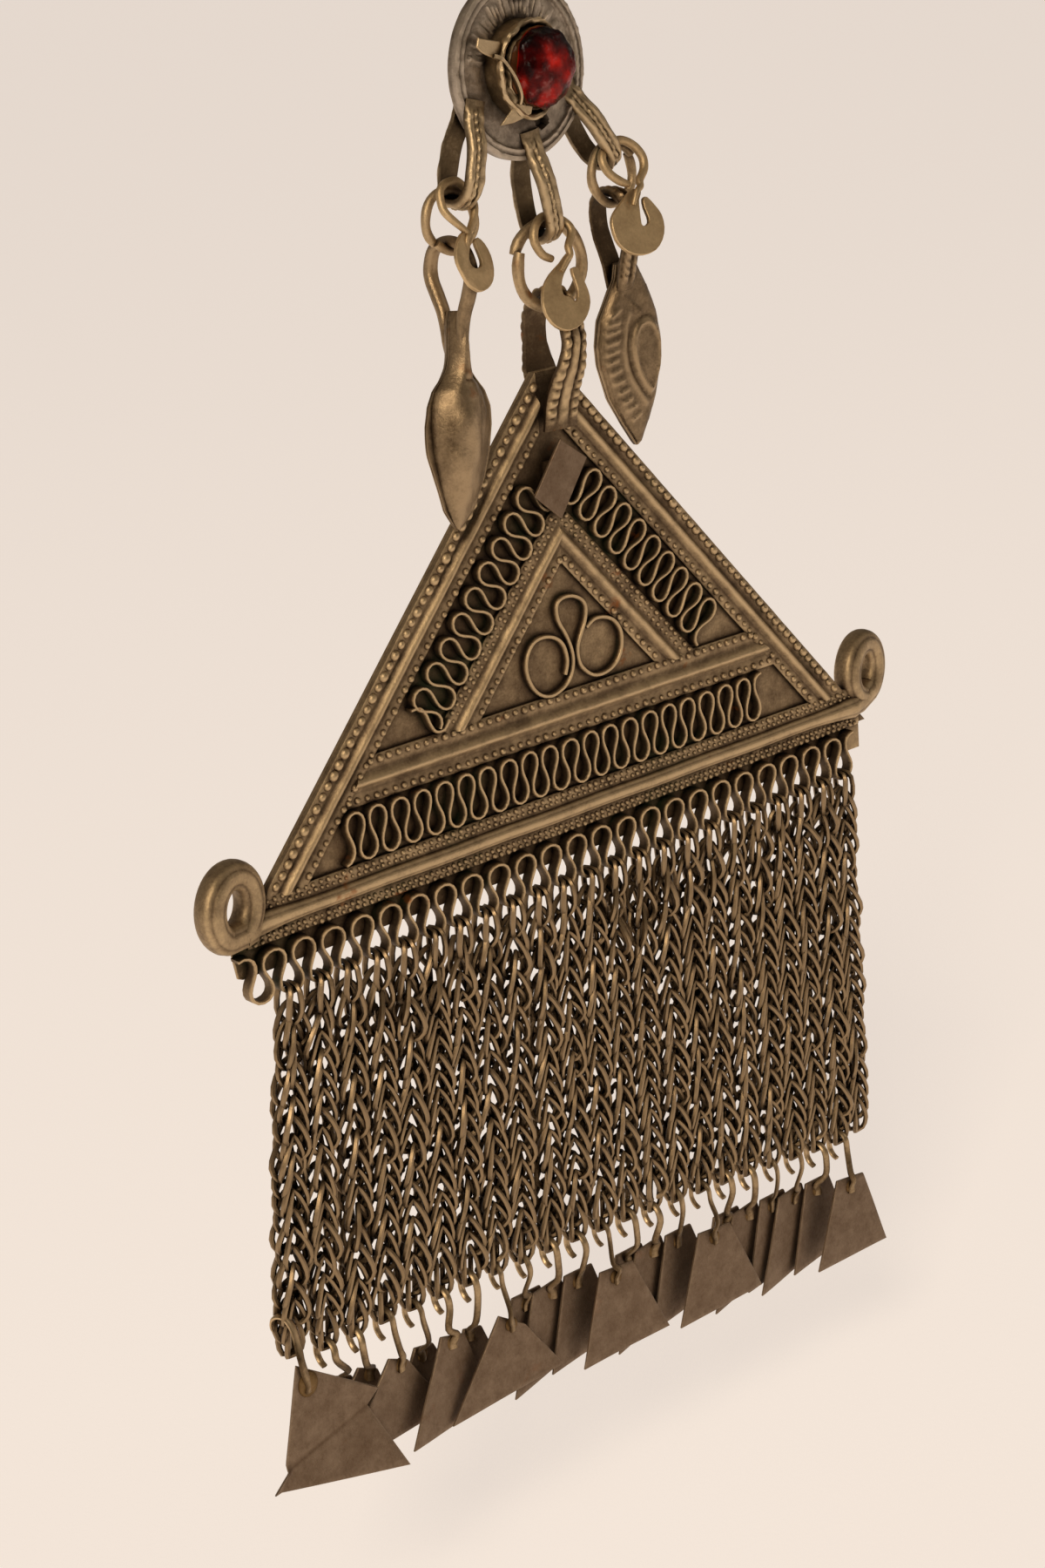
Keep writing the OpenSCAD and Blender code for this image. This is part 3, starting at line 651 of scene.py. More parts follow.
def strap(shape, style, path, width, thick, place=lambda p: p, centre=lambda t: 0.0 * t):
    """A strap in Y and Z with columns of relief beaten into its outer face.

    width and centre, its middle in X, are functions of the part of its length, from 0 to 1."""
    count, ground, columns = STRAPS[style]
    total, at = along(np.array([(0.0, y, z) for y, z in path]))
    fine = np.arange(0, total, 0.17)
    p, t, seed = at(fine), fine / total, path[1][1]
    out = np.cross((1.0, 0, 0), unit(np.gradient(p, axis=0)))
    if np.sum(out * (p - p.mean(0))) < 0:
        out = -out
    u = np.linspace(-1, 1, count)
    plain_end = np.clip((np.minimum(fine, total - fine) - 0.5) / 1.3, 0.12, 1)
    relief = np.array([[strap_relief(columns, s, v, seed) for v in u] for s in fine]) * plain_end[:, None]
    tones = np.minimum(1.0, ground + 4.2 * relief)
    relief[:, 0] = relief[:, -1] = 0
    x = centre(t)[:, None]
    half = (width(t) / 2 * (1 + 0.05 * rough(p, 0.5, seed)))[:, None]
    front = p[:, None] + out[:, None] * (thick / 2 - 0.2 + relief + 0.3 * (1 - u ** 2))[..., None]
    front[..., 0] += x + half * u
    back = np.repeat((p - out * (thick / 2))[:, None], 3, 1)
    back[..., 0] += x + half * np.array([1, 0, -1]) * 0.94
    # the back leg gets tone -1.5: painted shadow, as cast on it by the front leg
    shape.grid(place(np.concatenate([front, back], 1)), False, True, 2,
               np.concatenate([tones, np.full((len(p), 3), -1.5)], 1))


# ---------------------------------------------------------------- chains
# A quarter of a link: across, half the distance between its two wires, and down from the top
LINK = [(0, .47, 0), (.42, .68, -.42), (.83, .86, -1.1), (1.3, 1.02, -2.2), (1.72, 1.05, -3.4),
        (1.86, .92, -4.3), (1.7, .62, -5.05), (1.2, .33, -5.68), (.55, 0, -5.95)]
FIRST_LINK = [(0, .4, .1), (.95, .5, -.05), (1.42, .66, -.7), (1.5, .85, -2.0), (1.4, .9, -3.2),
              (1.15, .7, -4.1), (.8, .35, -4.7), (.45, 0, -5.0)]
LAST_LINK = [(0, .5, 0), (.32, .7, -.5), (.6, .95, -1.3), (.85, 1.15, -2.4), (.95, 1.2, -3.4),
             (.8, 1.1, -4.3), (.5, 0.85, -5.0), (.3, 0, -5.15)]
LINK_PITCH, LINK_WIRE = 2.45, 0.38
# From a chain's top to its first whole link, and the length of its last one
FIRST_STEP, LAST_LENGTH = 2.3, 5.15
# From the neck chain's lower end to its first link, and to the top of the link that holds the top ring
NECK_STEP, NECK_OVERLAP = 4.0, 3.0
NECK_ROUTE = [(3.6, -120, -187.5), (15, -119, -175), (31, -115, -151), (47, -106, -121), (60, -90, -88),
              (67, -66, -56), (65, -40, -30), (51, -17, -12), (29, -3, -2), (6.3, 0, 0)]
# From the end of a chain's tube to where its last link ends, if a drop's hook pulls at it
HOOK_SHIFT = np.array((0.5, 0, -1.1))
# The clasp's outline: place along it, radius
BARREL = [(-6.0, 0.5), (-5.9, 0.9), (-5.2, 1.05), (-5.0, 1.7), (-4.7, 2.1), (-4.3, 2.25), (-4.1, 1.95), (-3.9, 2.25),
          (-3.6, 2.25), (-3.4, 1.9), (-0.2, 1.95), (0.0, 2.2), (0.35, 2.25), (0.6, 2.2), (0.7, 1.75), (0.85, 2.0),
          (3.4, 1.95), (3.6, 2.25), (3.9, 2.25), (4.1, 1.95), (4.3, 2.25), (4.7, 2.1), (5.0, 1.7), (5.2, 1.05),
          (5.9, 0.9), (6.0, 0.5)]


def link(shape, quarter, at, axes):
    """One closed wire link; axes are across, back and up."""
    q = np.array(quarter)
    loop = np.concatenate([q * (1, -1, 1), q[::-1][1:], q[1:] * (-1, 1, 1), (q * (-1, -1, 1))[::-1][1:-1]])
    shape.wire(np.asarray(at) + loop @ np.asarray(axes), LINK_WIRE, 6, True, tone=0.15)


def link_axes(back, up, twist=0.0, tilt=0.0, roll=0.0):
    """Axes for link(): up, back as near as can be to the way given, then turned a little."""
    across = unit(np.cross(back, up))
    across, back = spin(across, np.cross(up, across), -twist)
    across, up = spin(across, up, -tilt)
    back, up = spin(back, up, -roll)
    return across, back, up


def chain_x(n):
    return FIRST_LOBE_X + (n + 0.5) * CHAIN_PITCH


def chain_end(n):
    """Where a chain's tube ends, as in part.scad; the chains lean a little and grow longer to the right."""
    x, t = chain_x(n), (n - 1) / (CHAIN_COUNT - 1)
    return np.array((x - 2.9 + 3.3 * x / 50, -0.7, -57.5 - 2 * t - 6 * t * t))


def build_chain(n, material):
    rng = random.Random(100 + n)
    s = Shape()
    top = np.array((chain_x(n), -0.66, -8.9))
    foot = chain_end(n) + (0, 0.05, 0.25) + HOOK_SHIFT * (1 < n < CHAIN_COUNT)
    span = np.linalg.norm(foot - top) - LAST_LENGTH
    down = unit(foot - top)
    back, quarter_turn = (0.0, 1, 0), math.pi / 2
    count = int(round((span - FIRST_STEP) / LINK_PITCH))
    pitch = (span - FIRST_STEP) / count
    bow = rng.uniform(-0.5, 0.5)
    for k in range(count + 2):
        d = FIRST_STEP + (k - 1) * pitch if k else 0.0
        at = top + down * d + (bow * math.sin(math.pi * d / span) + rng.uniform(-0.12, 0.12), 0, 0)
        # the first links hang looser
        loose = 2 if k < 4 else 1
        twist, tilt = rng.gauss(0, 0.17 * loose), rng.gauss(0, 0.06 * loose)
        if k == 0:
            link(s, FIRST_LINK, at, link_axes(back, -down, quarter_turn + rng.uniform(-0.3, 0.15)))
        elif k == count + 1:
            link(s, LAST_LINK, top + down * span, link_axes(back, -down, quarter_turn + rng.gauss(0, 0.06)))
        else:
            link(s, LINK, at, link_axes(back, -down, twist, tilt, rng.gauss(0, 0.04)))
    name = "chain_%02d" % n
    s.piece(name + "_links", [material], "amulet", name, "aged_metal")


def build_neck_chain(side, material):
    rng = random.Random(300 + side)
    s = Shape()
    total, at = along(np.array([(side * x + 1.1 * z / 187.5, y, z) for x, y, z in smooth(NECK_ROUTE, 8)]))
    # its lower end is a link round the top ring, its upper end one round the clasp's loop
    count = int(round((total - NECK_STEP) / LINK_PITCH))
    for k in range(count + 1):
        d = NECK_STEP + k * (total - NECK_STEP) / count
        point = at(d)
        up = unit(at(min(d + 3, total)) - at(max(d - 3, 0)))
        back = unit(np.array((-point[0], -60 - point[1], 0)))
        link(s, LINK, point, link_axes(back, up, rng.gauss(0, 0.1), rng.gauss(0, 0.03)))
    up = unit(at(NECK_STEP) - at(0))
    link(s, LAST_LINK, at(0) + up * NECK_OVERLAP, link_axes((0.0, -1, 0), up, 1.45))
    name = "neck_chain_" + ("left" if side < 0 else "right")
    s.piece(name + "_links", [material], "neck_chain", name, "aged_metal", (0, 0, 0))


def build_clasp(material):
    s = Shape()
    s.grid([[(x, -r * c, -r * d) for c, d in circle(40)] for x, r in BARREL], False, True, 2,
           np.array([[0.3 if r > 2.05 else -0.3] for _, r in BARREL]))
    for side in (-1, 1):
        s.wire([(side * (6.7 + c), d, 0) for c, d in circle(20, 0.95)], 0.3, 8, True)
        for c, d in circle(14):
            s.dome((side * 2.1, 1.94 * c, 1.94 * d), 0.26, 0.2, (0, c, d), 6, 2, 0.5)
    s.piece("clasp_barrel", [material], "neck_chain", "clasp", "aged_metal", (0, 0, 0))


# ---------------------------------------------------------------- drops
# The first drop's corners, clockwise from the top left, and its hook, both from the end of its chain
BENT_DROP = [(-1.63, 0.76), (10.3, -7.68), (8.28, -9.3), (13.29, -20.06), (-7.34, -14.89), (-4.94, -12.91)]
FIRST_HOOK = [(-0.4, -3.85, -3.3), (-0.3, -3.9, -2.1), (-0.75, -3.9, -0.4), (-1.0, -3.8, 1.45), (-0.6, -2.8, 2.9),
              (-0.45, -1.9, 4.8), (-0.75, -1.0, 6.06), (-1.33, -0.3, 6.38), (-1.69, 0.4, 5.87), (-1.54, 0.9, 4.67),
              (-0.98, 1.2, 3.57)]
# Drops cut unevenly: how far forward, the turn, corners clockwise from the top left, and their hook's end
CUT_DROPS = {2: (-0.9, 12, (2.1, -6.4), (5.4, -7.9), (9.6, -18.2), (-5.2, -16.2), (3.6, -8.0)),
             3: (-0.5, 12, (1.0, -6.4), (4.5, -8.3), (8.0, -17.9), (-8.6, -15.0), (2.7, -8.2)),
             4: (1.6, 12, (-0.5, -5.4), (2.9, -7.2), (10.1, -18.1), (-11.2, -15.9), (1.4, -7.3)),
             5: (-0.5, 12, (0.7, -7.2), (4.2, -8.2), (9.3, -17.3), (-5.6, -16.5), (1.8, -8.8)),
             6: (1.6, 12, (-1.55, -5.5), (3.0, -7.2), (7.7, -19.7), (-8.8, -18.7), (0.3, -7.2)),
             7: (-0.5, 12, (-0.7, -7.4), (2.8, -8.6), (7.7, -19.6), (-5.9, -18.4), (0.2, -8.7)),
             8: (2.6, 0, (-1.6, -5.7), (2.6, -8.6), (8.7, -17.4), (-10.8, -18.2), (0.2, -7.8))}
FRONT_DROPS = {12: (1.5, 0, 2.6, 0), 16: (1, 0, 2.6, 0), 22: (1.5, 4, 2.4, -4)}


def drop_shape(n, rng):
    """How far forward, the turn, the corners and the hook's end, as in CUT_DROPS."""
    trim = rng.uniform(-0.5, 0.5)
    if n in CUT_DROPS:
        return CUT_DROPS[n]
    slide, turn, forward, lean = FRONT_DROPS.get(n, (-1.8, 12, 0, 3) if n % 2 == 0 else (2.2, 12, 0, -3))
    square = ((-3 - slide * 0.6, -2.3), (3 - slide * 0.6, -2.9), (8 + trim * 0.6, -15.5 + trim * 0.4), (-8, -15.5))
    corners = [np.add(spin(x, z, math.radians(lean)), (slide, -3.3)) for x, z in square]
    return (forward, turn, *corners, (0.2, -7.4))


def sheet(shape, left, right, t, warp, nx=9, nz=9, mark=lambda q: 0.0, place=lambda p: p):
    """A thin cut sheet between its left and right edge, each given as rows of (part down, x, z).

    warp and mark give the depth and tone at q = (x, z)."""
    spread = lambda count: [0, 0.012, *np.linspace(0.06, 0.94, count), 0.988, 1]
    edge_at = lambda e, v: np.array([np.interp(v, e[0], e[1]), np.interp(v, e[0], e[2])])
    left, right = np.array(left, float).T, np.array(right, float).T

    def face(sign):
        def point(v, u):
            q = edge_at(left, v) * (1 - u) + edge_at(right, v) * u
            rim = u in (0, 1) or v in (0, 1)
            tone = 0.9 if rim else mark(q) + (0.25 if min(u, 1 - u, v, 1 - v) < 0.02 else 0.0)
            return (q[0], warp(q) + sign * (t / 2 - 0.1 * rim), q[1]), tone
        return lattice(np.union1d(spread(nz), left[0]), spread(nx), point)
    front, back = face(-1), face(1)
    ids = np.arange(front[1].size).reshape(front[1].shape)
    quads = np.stack([ids[:-1, :-1], ids[1:, :-1], ids[1:, 1:], ids[:-1, 1:]], -1).reshape(-1, 4).tolist()
    quads += [[ids.size + k for k in q[::-1]] for q in quads]
    rim = np.concatenate([ids[0], ids[1:, -1], ids[-1, -2::-1], ids[-2:0:-1, 0]]).tolist()
    quads += [(a, b, ids.size + b, ids.size + a) for a, b in zip(rim, rim[1:] + rim[:1])]
    p, tones = joined(front, back)
    shape.add(place(p), quads, tones)


def build_drop(n, materials):
    rng = random.Random(500 + n)
    end = chain_end(n)
    bend = rng.uniform(-0.1, 0.1)
    forward, turn, *cut = drop_shape(n, rng) if n > 1 else (3.4, 0)
    yaw = math.radians(turn)

    def place(p):
        """From the drop's own sheet to the pendant."""
        x, y = spin(p[..., 0], p[..., 1], yaw)
        return np.stack([x, y - forward, p[..., 2]], -1) + end

    def warp(q):
        return bend * ((q[0] / 8) ** 2 - 0.4) + 0.1 * lumps(q[0] * 0.13, n * 3.7, q[1] * 0.13)

    s = Shape()
    if n == 1:
        # bent across from the left edge to the right, its left corner curled to the front
        a, b, f, c, d, e = np.array(BENT_DROP)
        below = unit(f - e) @ np.array([[0, -1], [1, 0]])

        def bent(q):
            curl = max(0.0, 1.0 - segment_gap(*q, d, e))
            return warp(q) - 0.1 * max(0.0, float((q - e) @ below)) - 0.7 * curl ** 1.5
        # a line of painted shade runs along the fold
        sheet(s, [(0, *a), (0.5, *e), (1, *d)], [(0, *b), (0.5, *f), (1, *c)], 0.45, bent, 34, 44,
              lambda q: -0.8 * bell(float((q - e) @ below), 0.3), place)
        path, wide = FIRST_HOOK, (0.75, 0.62, 0.55, 0.5)
        blob = (end + (-0.29, -3.62, -2.3), 1.5, 0.5, (0, -1, 0.1), 26, 6, 0.3, (0, 0, 1), 1.2)
    else:
        top_left, top_right, right, left, (x, z) = cut
        sheet(s, [(0, *top_left), (1, *left)], [(0, *top_right), (1, *right)], 0.45, warp, place=place)
        up, sway = rng.uniform(0, 1.2), rng.uniform(-0.45, 0.45)
        x, y = spin(x, 0, yaw)
        y -= forward
        curl = [(sway * 1.2, -1.9, -1.3 + up * 0.3), (sway, -1.6, 0.1 + up), (sway * 0.7, -0.5, 0.95 + up),
                (0, 0.7, 0.75 + up), (-sway * 0.7, 1.45, up * 0.5), (-sway, 1.5, -1.1), (-sway, 0.9, -2.1),
                (-sway, 0.1, -2.5)]
        bow = 0.6 * math.sin(2.3 * n)
        path = [(x, y - 0.46, z - 0.7), (x, y - 0.48, z + 0.2), (x * 0.97 + sway * 0.3 + bow, y - 0.75, z + 1.3),
                (x * 0.7 + sway - bow, y * 0.6 - 1.5, z + 2.6), *(HOOK_SHIFT + q for q in curl)]
        wide = (0.62, 0.46, 0.44, 0.4)
        blob = (end + (x, y - 0.24, z + 0.2), 1.0, 0.3, (0, -1, 0.1), 16, 4, 0.3)

    # strip hook, soldered to the sheet's front and curled through the last link
    s.slot = 1
    p = smooth(path, 4) + end
    part = np.linspace(0, 1, len(p))
    wide = np.interp(part, [0, 0.3, 0.7, 1], wide)
    # the hook is painted darker along its stem, as shade, and lighter over its curl, as a highlight
    hook_light_and_shade = np.interp(part, [0, 0.3, 0.5, 0.8, 1], [-0.9, -1.3, 0.4, 1.2, 0.2])
    profile = [(-0.12, -1), (-0.25, -0.5), (-0.25, 0.5), (-0.12, 1), (0.12, 1), (0.25, 0.5), (0.25, -0.5), (0.12, -1)]
    face = 0.45 * math.sin(1.7 * n)
    s.sweep(p, profile, False, (math.cos(face), math.sin(face), 0), np.stack([np.ones(len(p)), wide], 1),
            hook_light_and_shade[:, None] + np.array([-0.4, 0.5, 0.5, -0.4, -0.4, 0.5, 0.5, -0.4]))
    s.slot = 2
    s.dome(*blob)
    name = "drop_%02d" % n
    s.piece(name + "_sheet", materials, "amulet", name, "dark_metal")


# ---------------------------------------------------------------- medallion
DISC = np.array((-1.1, 0.0, 93.6))
DISC_TURN = math.radians(4)
# Circles on the coin's face: radius; and on its rim and back: radius, depth, tone
FACE_RADII = [0.5, 3, 5.0, 5.5, 5.7, 6.0, 6.3, 6.6, 6.9, 7.2, 7.5, 7.8, 8.1, 8.4, 8.7, 8.95, 9.15, 9.3, 9.45, 9.7,
              9.95, 10.1, 10.2, 10.4, 10.6, 10.7]
DISC_BACK = [(10.75, -0.5, 0.1), (10.72, -0.1, -0.6), (10.72, 0.1, -0.6), (10.7, 0.35, -0.2), (10.45, 0.5, 0.2),
             (9.6, 0.45, -0.1), (5, 0.47, -0.1), (0.5, 0.5, -0.2)]
# The cup's wall and the collar inside it: radius, depth, tone; the tone paints a highlight along the rim's crest and
# shade at the wall's foot and down inside
CUP = [(5.85, -0.5, -.9), (5.65, -1.3, -.6), (5.5, -2.2, -.3), (5.62, -2.9, .1), (5.85, -3.35, .6), (5.85, -3.7, .95),
       (5.6, -3.92, 1), (5.3, -3.8, .7), (5.12, -3.4, -.5), (4.98, -2.9, -1), (4.85, -3.1, -.8), (4.75, -3.55, .2),
       (4.6, -3.8, .8), (4.42, -3.7, .6), (4.3, -3.2, -.6), (4.25, -2.2, -1), (4.2, -1.3, -1), (4.0, -0.7, -1)]
# Claws cut from the cup's wall and bent back: outline, depth, how far bent
CLAWS = [([(-9.5, 97.9), (-6.3, 97.2), (-5.9, 96.0), (-7.1, 95.3), (-8.5, 95.9), (-9.2, 96.3),
           (-9.8, 96.9)], -3.6, 0.3),
         ([(-4.75, 90.0), (-3.4, 89.7), (-2.2, 89.4), (-2.5, 88.5), (-3.9, 88.1), (-5.2, 87.8), (-7.3, 87.7),
           (-6.2, 88.7), (-5.4, 89.4)], -4.25, 0.4)]


def on_disc(p):
    """Sets points round the coin's own middle; the coin is turned a little to the left."""
    x, y = spin(p[..., 0], p[..., 1], DISC_TURN)
    return np.stack([x, y, p[..., 2]], -1) + DISC


def bail(shape, x, z, lean, length, width, up=1):
    """A strap folded over at its foot, or at its top where up is -1, with both its ends on the coin's rim."""
    half = [(-1, length), (-1.2, length * 0.8), (-2.3, length * 0.55), (-2.5, 2.4), (-1.6, 0.7)]
    path = smooth([*half, (0, 0.2), *((-y, h) for y, h in half[::-1])], 8)

    def place(p):
        across, height = spin(p[..., 0], up * p[..., 2], -math.radians(lean))
        return np.stack([across, p[..., 1], height], -1) + (x, (x - DISC[0]) * math.tan(DISC_TURN), z)
    strap(shape, "bail", path, lambda t: width * (1 - 0.1 * np.sin(math.pi * t)), 0.6, place)


def build_medallion(materials):
    rng = random.Random(21)
    s = Shape()
    strokes = [(v, rng.uniform(5.9, 6.4), rng.uniform(8.2, 9.0), rng.uniform(-0.35, 0.35))
               for v in np.arange(0.22, 2.95, 0.088)]

    def face(r, v):
        x, z = r * math.cos(v), r * math.sin(v)
        uneven = lumps(x * 0.9, z * 0.9, 1) + 0.6 * lumps(x * 2.1, z * 2.1, 4)
        # the face is painted darker round the cup, as shade
        h, t = 0.1 * uneven, 0.4 * uneven - 0.1 - 0.7 * bell(r - 5.9, 1.0)
        if r > 9.2:
            # raised rim with a groove; its crest is painted lighter, as a highlight, and the groove darker, as shade
            rise = min(1.0, (r - 9.2) / 0.25) - (0.35 if 9.9 < r < 10.15 else 0) - max(0, r - 10.5) * 1.6
            h += 0.34 * rise + 0.04 * uneven
            t = 0.55 if 9.3 < r < 9.9 else -0.5 if r < 10.15 else 0.4
            if -0.9 < math.sin(v) < 0.7 and math.cos(v) > 0.2:
                h += 0.1 * math.sin(v * 60) * max(0.0, uneven + 0.3)
        elif r > 5.8:
            # chased strokes, like the barbs of a feather
            for a, r0, r1, slant in strokes:
                d = (v - a - slant * (r - 6) * 0.06) * r
                if r0 < r < r1 and abs(d) < 0.26:
                    h += 0.24 * math.cos(d / 0.26 * math.pi / 2)
                    t += 0.8 * math.cos(d / 0.26 * math.pi / 2)
            if math.sin(v) < -0.3 or r < 6.2:
                t -= 0.25
            # a torn place under the cup
            if math.hypot(x - 3.1, (z + 6.5) / 0.75) < 1.0:
                h, t = -1.0, -1.0
        return (x, -0.75 - h, z), max(-1.0, min(1.0, t))

    def back(row, v):
        r, y, tone = row
        x, z = r * math.cos(v), r * math.sin(v)
        return (x, y + 0.05 * lumps(x * 0.7, 9, z * 0.7), z), tone
    p, tones = joined(lattice(FACE_RADII, around(180), face), lattice(DISC_BACK, around(180), back))
    s.grid(on_disc(p), False, True, 2, tones)

    # crumpled cup with an inner collar round the stone, flared to the left
    def cup(row, k):
        r, y, tone = row
        v = 2 * math.pi * k / 120
        flare = max(0.0, min(1.0, (-y - 0.6) / 2.6))
        sunk = max(0.0, math.cos(v + 0.3)) * flare
        at = np.array((math.cos(v) * 1.6, math.sin(v) * 1.6, y * 0.5))
        dent = 0.3 * lumps(*at) + 0.2 * lumps(*at * 3.1) + 0.1 * lumps(*at * 7)
        wall = r + dent * flare - 0.55 * sunk
        x = wall * math.cos(v) - (0.35 if r > 5.1 else 0.1) * flare
        depth = y - 0.3 * lumps(*at * 2.4) * flare + 0.7 * sunk
        return (x, depth, wall * math.sin(v)), tone + 0.3 * lumps(k * 0.4, r * 4, y)
    p, tones = lattice(CUP, range(120), cup)
    s.slot = 1
    s.grid(on_disc(p), False, True, 0, tones)
    # the cup's torn wall, crushed towards the stone
    sheet(s, [(0, -6.6, 95.2), (0.5, -6.5, 92.0), (1, -5.5, 89.2)],
          [(0, -5.3, 94.6), (0.5, -4.9, 92.4), (1, -3.9, 90.2)], 0.3,
          lambda q: -3.55 + 0.55 * lumps(q[0] * 0.9, 2, q[1] * 0.9) + 0.12 * (q[1] - 92), 12, 20,
          lambda q: 0.9 * lumps(q[0] * 1.5, 5, q[1] * 1.5) - 0.2)
    for outline, y0, fold in CLAWS:
        s.slab(outline, y0, y0 + 0.38, 0.1, 0.45, 0.95,
               lambda q: q + (DISC[2] - q[..., 2:]) * (0, 0.12 * fold, 0))
    s.sweep(smooth([(-7.4, -3.7, 95.6), (-6.6, -4.1, 95.2), (-5.7, -4.3, 94.0), (-4.85, -4.35, 92.6),
                    (-4.2, -4.2, 91.0), (-4.15, -3.8, 89.9)], 5),
            [(-0.17, -0.38), (0.17, -0.38), (0.2, 0), (0.17, 0.38), (-0.17, 0.38), (-0.2, 0)], False, None,
            [1.3] * 6 + [1.0] * 20, [[0.9, 0.6, 0.2, 0.6, 0.9, 0.4]])

    for place in ((-12.2, 79, 14.5, 12.2, 2.9), (1.7, 73.1, -9, 13.3, 3.0), (13.4, 80.6, -33, 12.4, 2.9),
                  (DISC[0], 112.4, 0, 10.8, 3.0, -1)):
        bail(s, *place)
    s.piece("medallion_detail", materials, "medallion", "medallion", "dark_metal")


def build_stone(material):
    """A dome broken off along random planes."""
    rng = random.Random(8)
    s = Shape()
    planes = [(unit((rng.gauss(0, 1), -abs(rng.gauss(0, 1)) - 0.25, rng.gauss(0, 1))), rng.uniform(0.86, 1.0))
              for _ in range(34)]
    planes += [(unit((0.05, -1, 0.05)), 0.80), (unit((-0.68, -0.66, 0.32)), 0.9)]
    count = 22

    def dome(i, v):
        a = math.pi / 2 * (0.02 + 0.98 * i / count)
        d = np.array((math.sin(a) * math.cos(v), -math.cos(a), math.sin(a) * math.sin(v)))
        r = min([h / max(1e-3, float(n @ d)) for n, h in planes] + [1.02])
        r *= 1 + 0.035 * lumps(*d * 5) + 0.02 * lumps(*d * 13)
        # the dome is painted lighter to the right and low down, and darker at the top and on its left, as light and
        # shade
        light = 0.7 * (0.5 * d[0] - d[2]) * math.sin(a) - 0.6 * max(0.0, -d[0])
        return ((0.72, -3.9, 0.15) + d * r * (5.05, 2.8, 5.05),
                1.0 if i > count - 2 else 0.5 * lumps(*d * 3) + 0.3 + light)

    def foot(row, v):
        y, r, tone = row
        return (r * math.cos(v), y, r * math.sin(v)), tone
    p, tones = joined(lattice(range(count + 1), around(56), dome),
                      lattice([(-3.6, 4.5, 1.0), (-2.9, 4.1, -1.0), (-1.7, 3.9, -1.0)], around(56), foot))
    s.grid(on_disc(p), False, True, 2, tones)
    s.piece("stone_glass", [material], "medallion", "stone", "red_glass", sharp=26)


# ---------------------------------------------------------------- rings, hooks and leaves
def build_ring(node, material, body, at, r, wire, gap_at, lap, seed):
    """A wire bent round by hand; its two cut ends meet, a little out of line."""
    s = Shape()
    points = []
    for u in np.linspace(0, 1, 45):
        v = gap_at - 0.03 + (2 * math.pi + 0.06) * u
        bent = r + 0.1 * math.sin(2 * v + seed) + 0.05 * math.sin(5 * v + seed)
        points.append((bent * math.cos(v), lap * (u - 0.5), bent * math.sin(v)))
    size = [0.86, 0.97, *(1 + 0.05 * math.sin(k * 0.9 + seed) for k in range(41)), 0.97, 0.86]
    s.wire(np.array(points) + at, wire, 12, False, size)
    s.piece(node + "_wire", [material], body, node, "aged_metal")


# How far the camera's line of sight moves along X and Z for each millimetre of depth
VIEW_X, VIEW_Z = 0.8178, -0.4436
